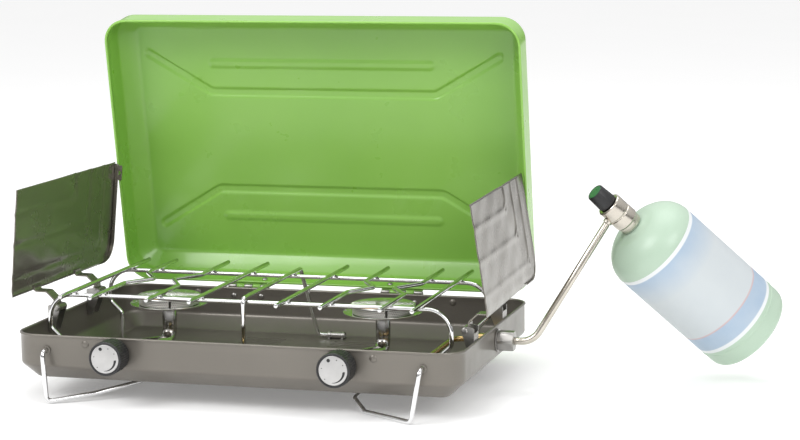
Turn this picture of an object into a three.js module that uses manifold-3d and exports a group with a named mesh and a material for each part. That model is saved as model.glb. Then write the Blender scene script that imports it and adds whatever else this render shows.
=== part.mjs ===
// Two-burner folding camping stove: sheet-metal tray and lid, two wind shields,
// wire pot grate, burners with valves, wire feet, gas pipe with regulator and cylinder.
// Millimetres. X to the right, Y to the back, Z up, ground at Z = 0.

import * as THREE from 'three';
import { mergeVertices } from 'three/addons/utils/BufferGeometryUtils.js';
import Module from 'manifold-3d';

const wasm = await Module();
wasm.setup();

// ---------------------------------------------------------------- driving dimensions

const GAP = 0.3;                 // clearance between pieces that touch
const SHEET = 1.0;               // pressed steel thickness

const TRAY_WIDTH = 500;          // over the rolled rim
const TRAY_DEPTH = 321;
const CORNER_RADIUS = 28;
const RIM_Z = 74;                // top of the tray rim above the ground
const WALL_HEIGHT = 34.5;        // upright part of the tray and lid walls
const PRESSING_HEIGHT = 51;      // whole height of the tray and of the lid
const WALL_INSET = 18.5;         // how far the sloping lower wall runs inward
const BEAD = 1.2;                // how far the rolled rim stands out of the wall

const LID_OPEN_DEG = 80;         // lid angle from closed, as stored
const LID_GAP = 0.6;             // between the closed lid rim and the tray rim
const HINGE_Y = TRAY_DEPTH / 2 + 3.7;
const HINGE_Z = RIM_Z + 0.3;
const HINGE_X = 95;              // each lid hinge from the middle
const HINGE_WIDTH = 50;
const FIXING_OFFSET = 10.6;      // rivets and screws above and below the hinge pin

const BURNER_X = 125;
const BURNER_Y = -15;
const VALVE_Z = RIM_Z - 17.5;    // height of knobs, valves and gas line
const VALVE_LEFT_X = -129.5;     // valves sit a little to the left of their burners
const VALVE_RIGHT_X = 122.5;
const TUBE_ELBOW_Z = VALVE_Z - 15.5;  // the mixing tubes fall a little towards the burners

const GRATE_WIRE = 2.4;          // wire radius
const GRATE_RAIL_Z = RIM_Z + 34.6;
const GRATE_BAR_Z = GRATE_RAIL_Z + 2 * GRATE_WIRE + GAP;
const GRATE_BAR_X = [48.5, 97, 161.5, 196];
const RAIL_FRONT_Y = -108;
const RAIL_BACK_Y = 56;
const BAR_FRONT_Y = -150;
const BAR_BACK_Y = 102;

const SHIELD_LENGTH = 257;
const SHIELD_HEIGHT = 119.3;
const SHIELD_BACK_Y = 138;
const SHIELD_LEAN_LEFT = 5.5;    // degrees, top leaning inward, as left standing
const SHIELD_LEAN_RIGHT = 9;
const SHIELD_TOE_DEG = 1.3;      // front edges stand wider apart than the back edges
const SHIELD_FOOT = new THREE.Vector2(266.5, RIM_Z + 30.5);
const SHIELD_PIVOT = new THREE.Vector2(235.5, RIM_Z + 11);
const ARM_Y_LEFT = [-61, 44];
const ARM_Y_RIGHT = [-84, 44];

const LEG_WIRE = 2.6;
const LEG_HOLE_X = 209.5;
const LEG_HOLE_Z = RIM_Z - 17;

// Front half of each wire foot below its hole: the corner on the ground, a bend, and the rise
// to the run under the tray.
const FOOT_LEFT = [[206, -170, 2.6], [162, -141, 8], [124, -108, 15.5]];
const FOOT_RIGHT = [[199.5, -170, 2.6], [140, -135, 2.6], [124, -120, 13]];

const GAS_Y = 3;                 // inlet on the right wall
const REGULATOR = new THREE.Vector3(373, 30, RIM_Z + 125);
const BOTTLE_AXIS = new THREE.Vector3(0.613, 0.434, -0.66).normalize();
const BOTTLE_RADIUS = 52.5;
const BOTTLE_LENGTH = 190;
const BOTTLE_NECK = 26;          // from the regulator's middle to the bottle's shoulder

const WALL_OUT_X = TRAY_WIDTH / 2 - BEAD;
const WALL_OUT_Y = TRAY_DEPTH / 2 - BEAD;
const WALL_IN_X = WALL_OUT_X - SHEET;
const WALL_IN_Y = WALL_OUT_Y - SHEET;
const TRAY_BOTTOM_Z = RIM_Z - PRESSING_HEIGHT;
const FLOOR_Z = TRAY_BOTTOM_Z + SHEET;

// ---------------------------------------------------------------- materials

const paint = (color, roughness, metalness) =>
  new THREE.MeshStandardMaterial({ color, roughness, metalness });

const GREEN_PAINT = paint(0x7fb24c, 0.4, 0.1);
const GREY_PAINT = paint(0x77726b, 0.45, 0.4);
const SHIELD_PAINT = paint(0x8b8980, 0.5, 0.4);
const CHROME = paint(0xc9cac8, 0.15, 1);
const STEEL = paint(0xa3a29d, 0.35, 1);
const BRASS = paint(0xb68d45, 0.3, 1);
const NICKEL = paint(0xb9ae9f, 0.25, 1);
const BLACK_PLASTIC = paint(0x17181a, 0.5, 0);
const SILVER_PLATE = paint(0xc4c2be, 0.4, 0.6);
const BOTTLE_PAINT = paint(0xa9dcae, 0.4, 0.1);

// ---------------------------------------------------------------- solid helpers

function toManifold(geometry) {
  const bare = geometry.clone();
  bare.deleteAttribute('normal');
  bare.deleteAttribute('uv');
  const merged = mergeVertices(bare, 1e-4);
  return new wasm.Manifold(new wasm.Mesh({
    numProp: 3,
    vertProperties: new Float32Array(merged.attributes.position.array),
    triVerts: new Uint32Array(merged.index.array),
  }));
}

function toGeometry(manifold) {
  const mesh = manifold.getMesh();
  const geometry = new THREE.BufferGeometry();
  geometry.setAttribute('position', new THREE.BufferAttribute(mesh.vertProperties, 3));
  geometry.setIndex(new THREE.BufferAttribute(mesh.triVerts, 1));
  const flat = geometry.toNonIndexed();
  flat.computeVertexNormals();
  return flat;
}

function join(...geometries) {
  const sum = geometries.map(toManifold).reduce((a, b) => a.add(b));
  return toGeometry(sum);
}

function cut(base, ...tools) {
  const rest = tools.map(toManifold).reduce((a, b) => a.subtract(b), toManifold(base));
  return toGeometry(rest);
}

// Mirror left to right, with the faces turned back outward.
function mirrorX(geometry) {
  const flat = geometry.index ? geometry.toNonIndexed() : geometry.clone();
  flat.deleteAttribute('uv');
  const p = flat.attributes.position;
  const v = [new THREE.Vector3(), new THREE.Vector3(), new THREE.Vector3()];
  for (let i = 0; i < p.count; i += 3) {
    v.forEach((corner, k) => corner.fromBufferAttribute(p, i + k));
    [v[0], v[2], v[1]].forEach((corner, k) => p.setXYZ(i + k, -corner.x, corner.y, corner.z));
  }
  flat.computeVertexNormals();
  return flat;
}

const box = (x, y, z, w, d, h) => new THREE.BoxGeometry(w, d, h).translate(x, y, z);

// Round bar between two points.
function rod(from, to, radius, sides = 16) {
  const a = new THREE.Vector3(...from);
  const b = new THREE.Vector3(...to);
  const along = b.clone().sub(a);
  const geometry = new THREE.CylinderGeometry(radius, radius, along.length(), sides);
  const turn = new THREE.Quaternion()
    .setFromUnitVectors(new THREE.Vector3(0, 1, 0), along.clone().normalize());
  return geometry.applyQuaternion(turn).translate(...a.add(b).multiplyScalar(0.5).toArray());
}

// Ring or tube: a flat annulus extruded from one point towards another.
function sleeve(from, to, outer, inner, sides = 16) {
  const a = new THREE.Vector3(...from);
  const b = new THREE.Vector3(...to);
  const along = b.clone().sub(a);
  const shape = circle(outer, sides);
  shape.holes.push(new THREE.Path(circle(inner, sides).getPoints()));
  const geometry = new THREE.ExtrudeGeometry(shape, { depth: along.length(), bevelEnabled: false });
  const turn = new THREE.Quaternion()
    .setFromUnitVectors(new THREE.Vector3(0, 0, 1), along.normalize());
  return geometry.applyQuaternion(turn).translate(...a.toArray());
}

function circle(radius, sides) {
  const points = [];
  for (let i = 0; i < sides; i++) {
    const angle = (2 * Math.PI * i) / sides;
    points.push(new THREE.Vector2(radius * Math.cos(angle), radius * Math.sin(angle)));
  }
  return new THREE.Shape(points);
}

function lathe(profile, sides = 24) {
  const points = profile.map(([r, z]) => new THREE.Vector2(r, z));
  return new THREE.LatheGeometry(points, sides).rotateX(Math.PI / 2);
}

// Turn a part made along +Z so that it points along a direction.
function aim(geometry, direction, origin) {
  const turn = new THREE.Quaternion()
    .setFromUnitVectors(new THREE.Vector3(0, 0, 1), direction.clone().normalize());
  return geometry.applyQuaternion(turn).translate(origin.x, origin.y, origin.z);
}

// Corner points replaced by short arcs of a bend radius.
function roundCorners(points, bend, steps = 2) {
  const out = [points[0].clone()];
  for (let i = 1; i < points.length - 1; i++) {
    const back = points[i - 1].clone().sub(points[i]).normalize();
    const ahead = points[i + 1].clone().sub(points[i]).normalize();
    const half = Math.acos(THREE.MathUtils.clamp(back.dot(ahead), -1, 1)) / 2;
    const reach = bend / Math.tan(half);
    const from = points[i].clone().addScaledVector(back, reach);
    const to = points[i].clone().addScaledVector(ahead, reach);
    const centre = points[i].clone()
      .addScaledVector(back.clone().add(ahead).normalize(), bend / Math.sin(half));
    const sweep = Math.PI - 2 * half;
    for (let k = 0; k <= steps; k++) {
      const t = k / steps;
      const a = from.clone().sub(centre).multiplyScalar(Math.sin((1 - t) * sweep));
      const b = to.clone().sub(centre).multiplyScalar(Math.sin(t * sweep));
      out.push(centre.clone().add(a.add(b).divideScalar(Math.sin(sweep))));
    }
  }
  out.push(points[points.length - 1].clone());
  return out;
}

// A path whose extrusion steps fall exactly on its corner points.
class WirePath extends THREE.Curve {
  constructor(points) {
    super();
    this.points = points;
  }

  getPoint(t, target = new THREE.Vector3()) {
    const place = t * (this.points.length - 1);
    const i = Math.min(Math.floor(place), this.points.length - 2);
    return target.lerpVectors(this.points[i], this.points[i + 1], place - i);
  }

  getPointAt(u, target) {
    return this.getPoint(u, target);
  }

  getTangentAt(u, target = new THREE.Vector3()) {
    const i = Math.round(u * (this.points.length - 1));
    const before = this.points[Math.max(i - 1, 0)];
    const after = this.points[Math.min(i + 1, this.points.length - 1)];
    const here = this.points[i];
    const arriving = here.clone().sub(before).normalize();
    const leaving = after.clone().sub(here).normalize();
    return target.copy(arriving).add(leaving).normalize();
  }
}

// Bent round wire or pipe through corner points.
function wire(corners, radius, bend, sides = 8) {
  const points = roundCorners(corners.map((c) => new THREE.Vector3(...c)), bend);
  const path = new WirePath(points);
  return new THREE.ExtrudeGeometry(circle(radius, sides), {
    steps: points.length - 1,
    extrudePath: path,
    bevelEnabled: false,
  });
}

// Bent flat strap: a line in the XZ plane with a thickness, extruded along Y.
function strap(corners, thickness, bend, width, middleY) {
  const line = roundCorners(corners.map((c) => new THREE.Vector2(...c)), bend);
  const side = (sign) => line.map((p, i) => {
    const before = line[Math.max(i - 1, 0)];
    const after = line[Math.min(i + 1, line.length - 1)];
    const along = after.clone().sub(before).normalize();
    const off = (sign * thickness) / 2;
    return new THREE.Vector2(p.x - along.y * off, p.y + along.x * off);
  });
  const outline = [...side(1), ...side(-1).reverse()];
  return extrudeY(outline, width, middleY);
}

// Outline in the XZ plane, extruded along Y about a middle.
function extrudeY(outline, width, middleY, holes = []) {
  const shape = new THREE.Shape(outline);
  holes.forEach((hole) => shape.holes.push(hole));
  return new THREE.ExtrudeGeometry(shape, { depth: width, bevelEnabled: false })
    .rotateX(Math.PI / 2)
    .translate(0, middleY + width / 2, 0);
}

// ---------------------------------------------------------------- pressed tray and lid

// Rounded rectangle of points at one height, pulled in by an inset from the rim size.
function ring(inset, z) {
  const halfW = TRAY_WIDTH / 2 - inset;
  const halfD = TRAY_DEPTH / 2 - inset;
  const radius = Math.max(CORNER_RADIUS - inset, 5);
  const steps = 5;
  const points = [];
  for (let corner = 0; corner < 4; corner++) {
    const sx = corner === 0 || corner === 3 ? 1 : -1;
    const sy = corner < 2 ? 1 : -1;
    for (let i = 0; i <= steps; i++) {
      const angle = (Math.PI / 2) * (corner + i / steps);
      points.push([
        sx * (halfW - radius) + radius * Math.cos(angle),
        sy * (halfD - radius) + radius * Math.sin(angle),
        z,
      ]);
    }
  }
  return points;
}

// Open pressing with a rolled rim at Z = 0 and its floor below.
function pressing() {
  const inner = BEAD + SHEET;
  const rings = [
    ring(BEAD + WALL_INSET, -PRESSING_HEIGHT),
    ring(BEAD, -WALL_HEIGHT),
    ring(BEAD, -3.6),
    ring(0.2, -3.2),
    ring(0, -2),
    ring(0.3, -0.6),
    ring(BEAD, 0),
    ring(inner, -0.4),
    ring(inner, -WALL_HEIGHT + 0.4),
    ring(inner + WALL_INSET - 0.6, -PRESSING_HEIGHT + SHEET),
  ];
  const count = rings[0].length;
  const position = rings.flat(2);
  const index = [];
  for (let r = 0; r + 1 < rings.length; r++) {
    for (let i = 0; i < count; i++) {
      const a = r * count + i;
      const b = r * count + ((i + 1) % count);
      index.push(a, b, b + count, a, b + count, a + count);
    }
  }
  const last = (rings.length - 1) * count;
  for (let i = 1; i + 1 < count; i++) {
    index.push(0, i + 1, i);
    index.push(last, last + i, last + i + 1);
  }
  const geometry = new THREE.BufferGeometry();
  geometry.setAttribute('position', new THREE.Float32BufferAttribute(position, 3));
  geometry.setIndex(index);
  return geometry;
}

function trayShell() {
  const tools = [];
  for (const side of [-1, 1]) {
    const valveX = side < 0 ? VALVE_LEFT_X : VALVE_RIGHT_X;
    tools.push(rod([valveX, -TRAY_DEPTH, VALVE_Z], [valveX, -150, VALVE_Z], 4.5, 12));
    tools.push(rod([side * LEG_HOLE_X, -TRAY_DEPTH, LEG_HOLE_Z],
      [side * LEG_HOLE_X, TRAY_DEPTH, LEG_HOLE_Z], 3.4, 8));
    for (const screwX of hingeFixings(side)) {
      const screwZ = HINGE_Z - FIXING_OFFSET;
      tools.push(rod([screwX, 150, screwZ], [screwX, TRAY_DEPTH, screwZ], 1.9, 8));
    }
    for (let row = 0; row < 4; row++) {
      tools.push(box(side * 54, 80 + 9 * row, TRAY_BOTTOM_Z, 50, 3.4, 6));
    }
  }
  tools.push(rod([230, GAS_Y, VALVE_Z], [TRAY_WIDTH, GAS_Y, VALVE_Z], 7));
  return cut(pressing().translate(0, 0, RIM_Z), ...tools);
}

function lidShell() {
  const tools = [];
  const z = HINGE_Z + FIXING_OFFSET - RIM_Z - LID_GAP;
  for (const side of [-1, 1]) {
    for (const rivetX of hingeFixings(side)) {
      tools.push(rod([rivetX, 150, z], [rivetX, TRAY_DEPTH, z], 1.9, 8));
    }
  }
  return cut(pressing().rotateX(Math.PI), ...tools);
}

// ---------------------------------------------------------------- lid hinges

const hingeFixings = (side) => [side * HINGE_X - 17, side * HINGE_X + 17];

// One hinge leaf in the closed position: a flat leaf with knuckles round the pin.
// heightSign is -1 for the leaf on the tray and +1 for the leaf on the lid.
function hingeLeaf(side, heightSign, knuckles) {
  const leafY = WALL_OUT_Y + BEAD + GAP + 0.6;
  const near = heightSign > 0 ? 1.2 : -0.6;
  const far = heightSign > 0 ? 20 : -20;
  const middle = side * HINGE_X;
  const z = HINGE_Z;
  const leafHeight = Math.abs(far - near);
  let leaf = toManifold(box(middle, leafY, z + (near + far) / 2, HINGE_WIDTH, 1.2, leafHeight));
  for (const [from, to] of knuckles) {
    leaf = leaf.add(toManifold(rod([middle + from, HINGE_Y, z], [middle + to, HINGE_Y, z], 2.8, 10)));
    const tongue = box(middle + (from + to) / 2, leafY, z + near * 0.5 + heightSign,
      to - from, 1.2, 3.4);
    leaf = leaf.add(toManifold(tongue));
  }
  const bores = [rod([middle - 30, HINGE_Y, z], [middle + 30, HINGE_Y, z], 1.7, 8)];
  for (const x of hingeFixings(side)) {
    const holeZ = z + heightSign * FIXING_OFFSET;
    bores.push(rod([x, 150, holeZ], [x, 180, holeZ], 1.9, 8));
  }
  const open = knuckleGaps(knuckles).map(([from, to]) =>
    box(middle + (from + to) / 2, HINGE_Y, z, to - from, 6.9, 7));
  return cut(toGeometry(leaf), ...bores, ...open);
}

// The stretches of the hinge width that belong to the other leaf's knuckles.
function knuckleGaps(knuckles) {
  const edges = [-HINGE_WIDTH / 2 - 1, ...knuckles.flat(), HINGE_WIDTH / 2 + 1];
  const gaps = [];
  for (let i = 0; i < edges.length; i += 2) {
    if (edges[i + 1] - edges[i] > 2) {
      gaps.push([edges[i], edges[i + 1]]);
    }
  }
  return gaps;
}

const TRAY_KNUCKLES = [[-25, -15.3], [-4.7, 4.7], [15.3, 25]];
const LID_KNUCKLES = [[-14.7, -5.3], [5.3, 14.7]];

const hingePin = (side) =>
  rod([side * HINGE_X - 26, HINGE_Y, HINGE_Z], [side * HINGE_X + 26, HINGE_Y, HINGE_Z], 1.4, 8);

// Round-headed fixing through the wall and the leaf; its outer head stands off the leaf.
function fixing(x, z, standOff) {
  const inside = WALL_IN_Y - GAP;
  const outside = WALL_OUT_Y + BEAD + GAP + 1.2 + standOff;
  return join(
    rod([x, inside - 2, z], [x, inside, z], 3.4, 10),
    rod([x, inside - 1, z], [x, outside + 1, z], 1.5, 8),
    rod([x, outside, z], [x, outside + 1.4, z], 2.9, 10),
  );
}

// The lid's leaf is riveted on for good, so its two rivets belong to it.
function lidLeaf(side) {
  const rivets = hingeFixings(side).map((x) => fixing(x, HINGE_Z + FIXING_OFFSET, -0.5));
  return join(hingeLeaf(side, 1, LID_KNUCKLES), ...rivets);
}

// ---------------------------------------------------------------- burners and gas line

// Flat dish with a low rim, the perforated flame band standing on it, and the cap over the band.
const burnerDish = () => lathe([
  [0, 5], [10, 5.2], [42.4, 10.6], [43.5, 11.9], [43.5, 12.6], [42.7, 12.6], [41.6, 11.6],
  [34, 11.2], [10, 7.4], [0, 7.4],
]).translate(0, BURNER_Y, RIM_Z);

const burnerBand = () => lathe([
  [32, 11.5], [33.6, 11.5], [33.6, 19.6], [32, 19.6], [32, 11.5],
]);

const burnerCap = () => lathe([
  [0, 20.2], [34.6, 19.9], [35.2, 19.6], [35.9, 19.6], [35.9, 20.4], [34.8, 21.2], [0, 21.8],
]);

const TUBE_MOUTH_Y = -127;
const SADDLE_Y = -60;

// Burner cup brazed on its bent mixing tube, open from the tube mouth into the cup.
// valveX is where the valve stands, measured from the burner's middle.
function burnerBody(valveX) {
  const mouth = new THREE.Vector3(valveX, TUBE_MOUTH_Y, VALVE_Z);
  const elbow = new THREE.Vector3(0, BURNER_Y, TUBE_ELBOW_Z);
  const before = mouth.clone().lerp(elbow, -0.01);
  const tube = wire([mouth.toArray(), elbow.toArray(), [0, BURNER_Y, RIM_Z + 5.5]], 8.2, 15, 12);
  const bore = wire([before.toArray(), elbow.toArray(), [0, BURNER_Y, RIM_Z + 8]], 7.2, 15, 12);
  return cut(join(tube, burnerDish()), bore);
}

// Sheet saddle that carries the mixing tube above the tray floor.
function burnerBracket(valveX) {
  const along = (SADDLE_Y - TUBE_MOUTH_Y) / (BURNER_Y - TUBE_MOUTH_Y);
  const x = valveX * (1 - along);
  const z = VALVE_Z + (TUBE_ELBOW_Z - VALVE_Z) * along;
  const base = FLOOR_Z + GAP;
  const outline = [[x - 16, base], [x + 16, base], [x + 12, z]].map((p) => new THREE.Vector2(...p));
  for (let i = 0; i <= 8; i++) {
    const angle = -(Math.PI * i) / 8;
    outline.push(new THREE.Vector2(x + 8.7 * Math.cos(angle), z + 8.7 * Math.sin(angle)));
  }
  outline.push(new THREE.Vector2(x - 12, z));
  const saddle = extrudeY(outline, 1.6, SADDLE_Y);
  return join(saddle, box(x, SADDLE_Y + 5, base + 0.7, 32, 11, 1.4));
}

// Brass valve block with the jet that blows into the burner tube.
function burnerValve() {
  const face = -WALL_IN_Y + GAP;
  const body = box(0, face + 11, VALVE_Z, 17, 22, 17);
  const shoulder = rod([0, face + 21, VALVE_Z], [0, face + 27, VALVE_Z], 5.2, 12);
  const jet = rod([0, face + 26, VALVE_Z], [0, face + 34, VALVE_Z], 2, 10);
  const bore = rod([0, face - 1, VALVE_Z], [0, face + 13, VALVE_Z], 3.4, 12);
  return cut(join(body, shoulder, jet), bore);
}

const PIPE_Y = -WALL_IN_Y + GAP + 12;
const PIPE_RADIUS = 4;           // bent gas pipe outside the tray

const inletPipe = () => wire([
  [220, GAS_Y, VALVE_Z], [200, GAS_Y, VALVE_Z], [200, PIPE_Y, VALVE_Z],
  [VALVE_RIGHT_X + 8.5 + GAP, PIPE_Y, VALVE_Z],
], 3, 12, 10);

const crossPipe = () => rod(
  [VALVE_LEFT_X + 8.5 + GAP, PIPE_Y, VALVE_Z],
  [VALVE_RIGHT_X - 8.5 - GAP, PIPE_Y, VALVE_Z], 3, 10);

// Inlet fitting with the supply pipe brazed into it.
function inletFitting() {
  const wall = WALL_IN_X - GAP;
  return join(
    inletPipe(),
    rod([wall - 8, GAS_Y, VALVE_Z], [wall, GAS_Y, VALVE_Z], 10, 6),
    rod([wall - 1, GAS_Y, VALVE_Z], [256, GAS_Y, VALVE_Z], 6.5, 14),
    rod([216, GAS_Y, VALVE_Z], [wall - 7, GAS_Y, VALVE_Z], 7, 14),
  );
}

const inletWasher = () =>
  sleeve([WALL_OUT_X + GAP, GAS_Y, VALVE_Z], [WALL_OUT_X + 1.7, GAS_Y, VALVE_Z], 12.5, 6.9, 20);

function inletNut() {
  const hexagon = rod([WALL_OUT_X + 2, GAS_Y, VALVE_Z], [268, GAS_Y, VALVE_Z], 11.8, 6);
  return cut(
    hexagon,
    rod([240, GAS_Y, VALVE_Z], [257, GAS_Y, VALVE_Z], 6.8, 14),
    rod([240, GAS_Y, VALVE_Z], [280, GAS_Y, VALVE_Z], PIPE_RADIUS + 0.4, 12),
  );
}

// ---------------------------------------------------------------- knobs

function knobBody() {
  const ribs = 20;
  const points = [];
  for (let i = 0; i < 2 * ribs; i++) {
    const radius = i % 2 ? 17.7 : 18.6;
    const angle = (Math.PI * i) / ribs;
    points.push(new THREE.Vector2(radius * Math.cos(angle), VALVE_Z + radius * Math.sin(angle)));
  }
  const body = extrudeY(points, 25.9, -175.55);
  return cut(
    body,
    rod([0, -194, VALVE_Z], [0, -187.5, VALVE_Z], 16, 24),
    rod([0, -180.8, VALVE_Z], [0, -160, VALVE_Z], 3.3, 12),
  );
}

const knobFace = () => rod([0, -188.1, VALVE_Z], [0, -187.8, VALVE_Z], 15.6, 24);

const valveStem = () => rod([0, -180.5, VALVE_Z], [0, -147, VALVE_Z], 3, 12);

// ---------------------------------------------------------------- wire feet

// One wire from front hole to back hole: a foot on the ground at each end, joined by the run
// under the tray.
function legWire(foot) {
  const half = [
    [LEG_HOLE_X, -152, LEG_HOLE_Z],
    [LEG_HOLE_X, -170, LEG_HOLE_Z],
    ...foot,
    [124, -60, 17],
  ];
  const back = half.map(([x, y, z]) => [x, -y, z]).reverse();
  return wire([...half, ...back], LEG_WIRE, 6);
}

// ---------------------------------------------------------------- pot grate

function grateRail(y) {
  const foot = FLOOR_Z + GAP;
  const side = [
    [213, y, foot],
    [213, y, RIM_Z - 16],
    [227, y, RIM_Z - 3],
    [227, y, GRATE_RAIL_Z],
  ];
  const mirrored = side.map(([x, py, z]) => [-x, py, z]).reverse();
  const ends = roundCorners(side.map((c) => new THREE.Vector3(...c)), 8, 1).slice(0, -1);
  const top = roundCorners([
    new THREE.Vector3(227, y, RIM_Z - 1),
    new THREE.Vector3(227, y, GRATE_RAIL_Z),
    new THREE.Vector3(-227, y, GRATE_RAIL_Z),
    new THREE.Vector3(-227, y, RIM_Z - 1),
  ], 26, 5).slice(1, -1);
  const opposite = roundCorners(mirrored.map((c) => new THREE.Vector3(...c)), 8, 1).slice(1);
  const points = [...ends, ...top, ...opposite];
  return new THREE.ExtrudeGeometry(circle(GRATE_WIRE, 8), {
    steps: points.length - 1,
    extrudePath: new WirePath(points),
    bevelEnabled: false,
  });
}

// Straight bar, or with a V towards the burner when bendX is not zero.
function grateBar(x, bendX) {
  const z = GRATE_BAR_Z;
  if (bendX === 0) {
    return wire([[x, BAR_FRONT_Y, z], [x, BAR_BACK_Y, z]], GRATE_WIRE, 1);
  }
  return wire([
    [x, BAR_FRONT_Y, z],
    [x, -56, z],
    [x + bendX, -21, z],
    [x, 14, z],
    [x, BAR_BACK_Y, z],
  ], GRATE_WIRE, 6);
}

const GRATE_HINGE_Y = 125;
const GRATE_HINGE_Z = FLOOR_Z + 4;

// Middle bar: stands on a front leg and hinges on its back foot.
const grateMiddleBar = () => wire([
  [0, -116, FLOOR_Z + GAP],
  [0, -116, GRATE_BAR_Z],
  [0, 77, GRATE_BAR_Z],
  [4, GRATE_HINGE_Y, GRATE_HINGE_Z],
  [36, GRATE_HINGE_Y, GRATE_HINGE_Z],
], GRATE_WIRE, 6);

const grateSleeve = () => sleeve(
  [16, GRATE_HINGE_Y, GRATE_HINGE_Z], [37, GRATE_HINGE_Y, GRATE_HINGE_Z], 3.8, 2.7, 12);

// ---------------------------------------------------------------- wind shields

// Flat sheet with a rounded lower back corner and a narrow flange along its back edge.
function shieldPanel(lean) {
  const front = SHIELD_BACK_Y - SHIELD_LENGTH;
  const back = SHIELD_BACK_Y;
  const outline = new THREE.Shape();
  outline.moveTo(front + 4, 0);
  outline.lineTo(back - 26, 0);
  outline.absarc(back - 26, 26, 26, -Math.PI / 2, 0, false);
  outline.lineTo(back, SHIELD_HEIGHT - 3);
  outline.lineTo(back - 3, SHIELD_HEIGHT);
  outline.lineTo(front + 3, SHIELD_HEIGHT);
  outline.lineTo(front, SHIELD_HEIGHT - 3);
  outline.lineTo(front, 4);
  const sheet = new THREE.ExtrudeGeometry(outline, {
    depth: SHEET,
    bevelEnabled: false,
    curveSegments: 6,
  });
  const upright = new THREE.Matrix4().makeBasis(
    new THREE.Vector3(0, 1, 0), new THREE.Vector3(0, 0, 1), new THREE.Vector3(1, 0, 0));
  sheet.applyMatrix4(upright).translate(-SHEET / 2, 0, 0);
  const flange = box(-2.6, back - 0.5, 66, 5.6, SHEET, 76);
  const hook = box(-5.1, back - 0.5, 107, 10.2, SHEET, 18);
  const eye = rod([-6, back - 4, 107], [-6, back + 4, 107], 2.6, 12);
  return leanOut(cut(join(sheet, flange, hook), eye), lean);
}

// Stand a piece made about the panel foot line on its leaning place at the right side.
function leanOut(geometry, lean) {
  return geometry
    .rotateY(-THREE.MathUtils.degToRad(lean))
    .translate(SHIELD_FOOT.x, 0, SHIELD_FOOT.y);
}

// Gooseneck strap from the pivot eye over the rim to the panel foot.
function shieldArm(y, leanDeg) {
  const p = SHIELD_PIVOT;
  const lean = THREE.MathUtils.degToRad(leanDeg);
  const inside = (height) => {
    const off = SHEET / 2 + 0.6;
    return [
      SHIELD_FOOT.x - height * Math.sin(lean) - off,
      SHIELD_FOOT.y + height * Math.cos(lean),
    ];
  };
  const neck = strap([
    [p.x + 3.2, p.y],
    [p.x + 3.6, p.y + 9],
    [p.x + 13, p.y + 17.6],
    inside(-1.5),
    inside(11),
  ], 1.6, 3.4, 16, y);
  const eye = rod([p.x, y - 8, p.y], [p.x, y + 8, p.y], 4.1, 10);
  const bore = rod([p.x, y - 9, p.y], [p.x, y + 9, p.y], 2.5, 8);
  return cut(join(neck, eye), bore);
}

// Wind shield: the panel with its two arms welded on, turned a little so that it toes out.
function windShield(lean, armY) {
  const arms = armY.map((y) => shieldArm(y, lean));
  return join(shieldPanel(lean), ...arms)
    .translate(-SHIELD_PIVOT.x, 0, 0)
    .rotateZ(THREE.MathUtils.degToRad(SHIELD_TOE_DEG))
    .translate(SHIELD_PIVOT.x, 0, 0);
}

// Where the pivot line passes at a distance along the tray.
const pivotAt = (y) => new THREE.Vector2(
  SHIELD_PIVOT.x - y * Math.tan(THREE.MathUtils.degToRad(SHIELD_TOE_DEG)), SHIELD_PIVOT.y);

// Two cheeks and a back plate on the inside of the tray wall.
function shieldBracket(y) {
  const p = pivotAt(y);
  const wall = WALL_IN_X - GAP;
  const outline = [
    [wall, p.y - 27], [wall, p.y + 3], [p.x + 2, p.y + 4.5], [p.x - 3.8, p.y + 2],
    [p.x - 3.8, p.y - 4], [wall - 6, p.y - 27],
  ].map((c) => new THREE.Vector2(...c));
  const cheeks = [-1, 1].map((side) => extrudeY(outline, 1.2, y + side * 9.2));
  const plate = box(wall - 0.6, y, p.y - 15, 1.2, 18, 24);
  const bore = rod([p.x, y - 12, p.y], [p.x, y + 12, p.y], 2.3, 8);
  return cut(join(plate, ...cheeks), bore);
}

function shieldPin(y) {
  const p = pivotAt(y);
  return join(
    rod([p.x, y - 11, p.y], [p.x, y + 11, p.y], 2, 8),
    rod([p.x, y - 11.6, p.y], [p.x, y - 10.1, p.y], 3.3, 10),
    rod([p.x, y + 10.1, p.y], [p.x, y + 11.6, p.y], 3.3, 10),
  );
}

// ---------------------------------------------------------------- gas pipe, regulator, bottle

const PIPE_ELBOW = new THREE.Vector3(288.5, GAS_Y, VALVE_Z);
const PIPE_RISE = REGULATOR.clone().sub(PIPE_ELBOW).normalize();

function gasPipe() {
  const end = REGULATOR.clone().addScaledVector(PIPE_RISE, -17 - GAP);
  return wire([[258, GAS_Y, VALVE_Z], PIPE_ELBOW.toArray(), end.toArray()], PIPE_RADIUS, 23, 12);
}

function regulatorBody() {
  const body = lathe([
    [0, -11], [13.2, -11], [14.2, -9.8], [14.2, 4], [13.5, 4.6], [13.5, 5.4], [14.2, 6],
    [14.2, 17.5], [13.2, 18.8], [13.2, 25.5], [11, 25.5], [11, 14], [0, 14],
  ], 18);
  aim(body, BOTTLE_AXIS, REGULATOR);
  const boss = rod(
    REGULATOR.clone().addScaledVector(PIPE_RISE, -17).toArray(),
    REGULATOR.clone().addScaledVector(PIPE_RISE, -6).toArray(), 5.2, 12);
  return join(body, boss);
}

function regulatorCap() {
  const cap = lathe([
    [0, -32], [9.2, -32], [10, -31], [10.9, -12.4], [10.3, -11.3], [0, -11.3],
  ], 18);
  return aim(cap, BOTTLE_AXIS, REGULATOR);
}

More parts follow.
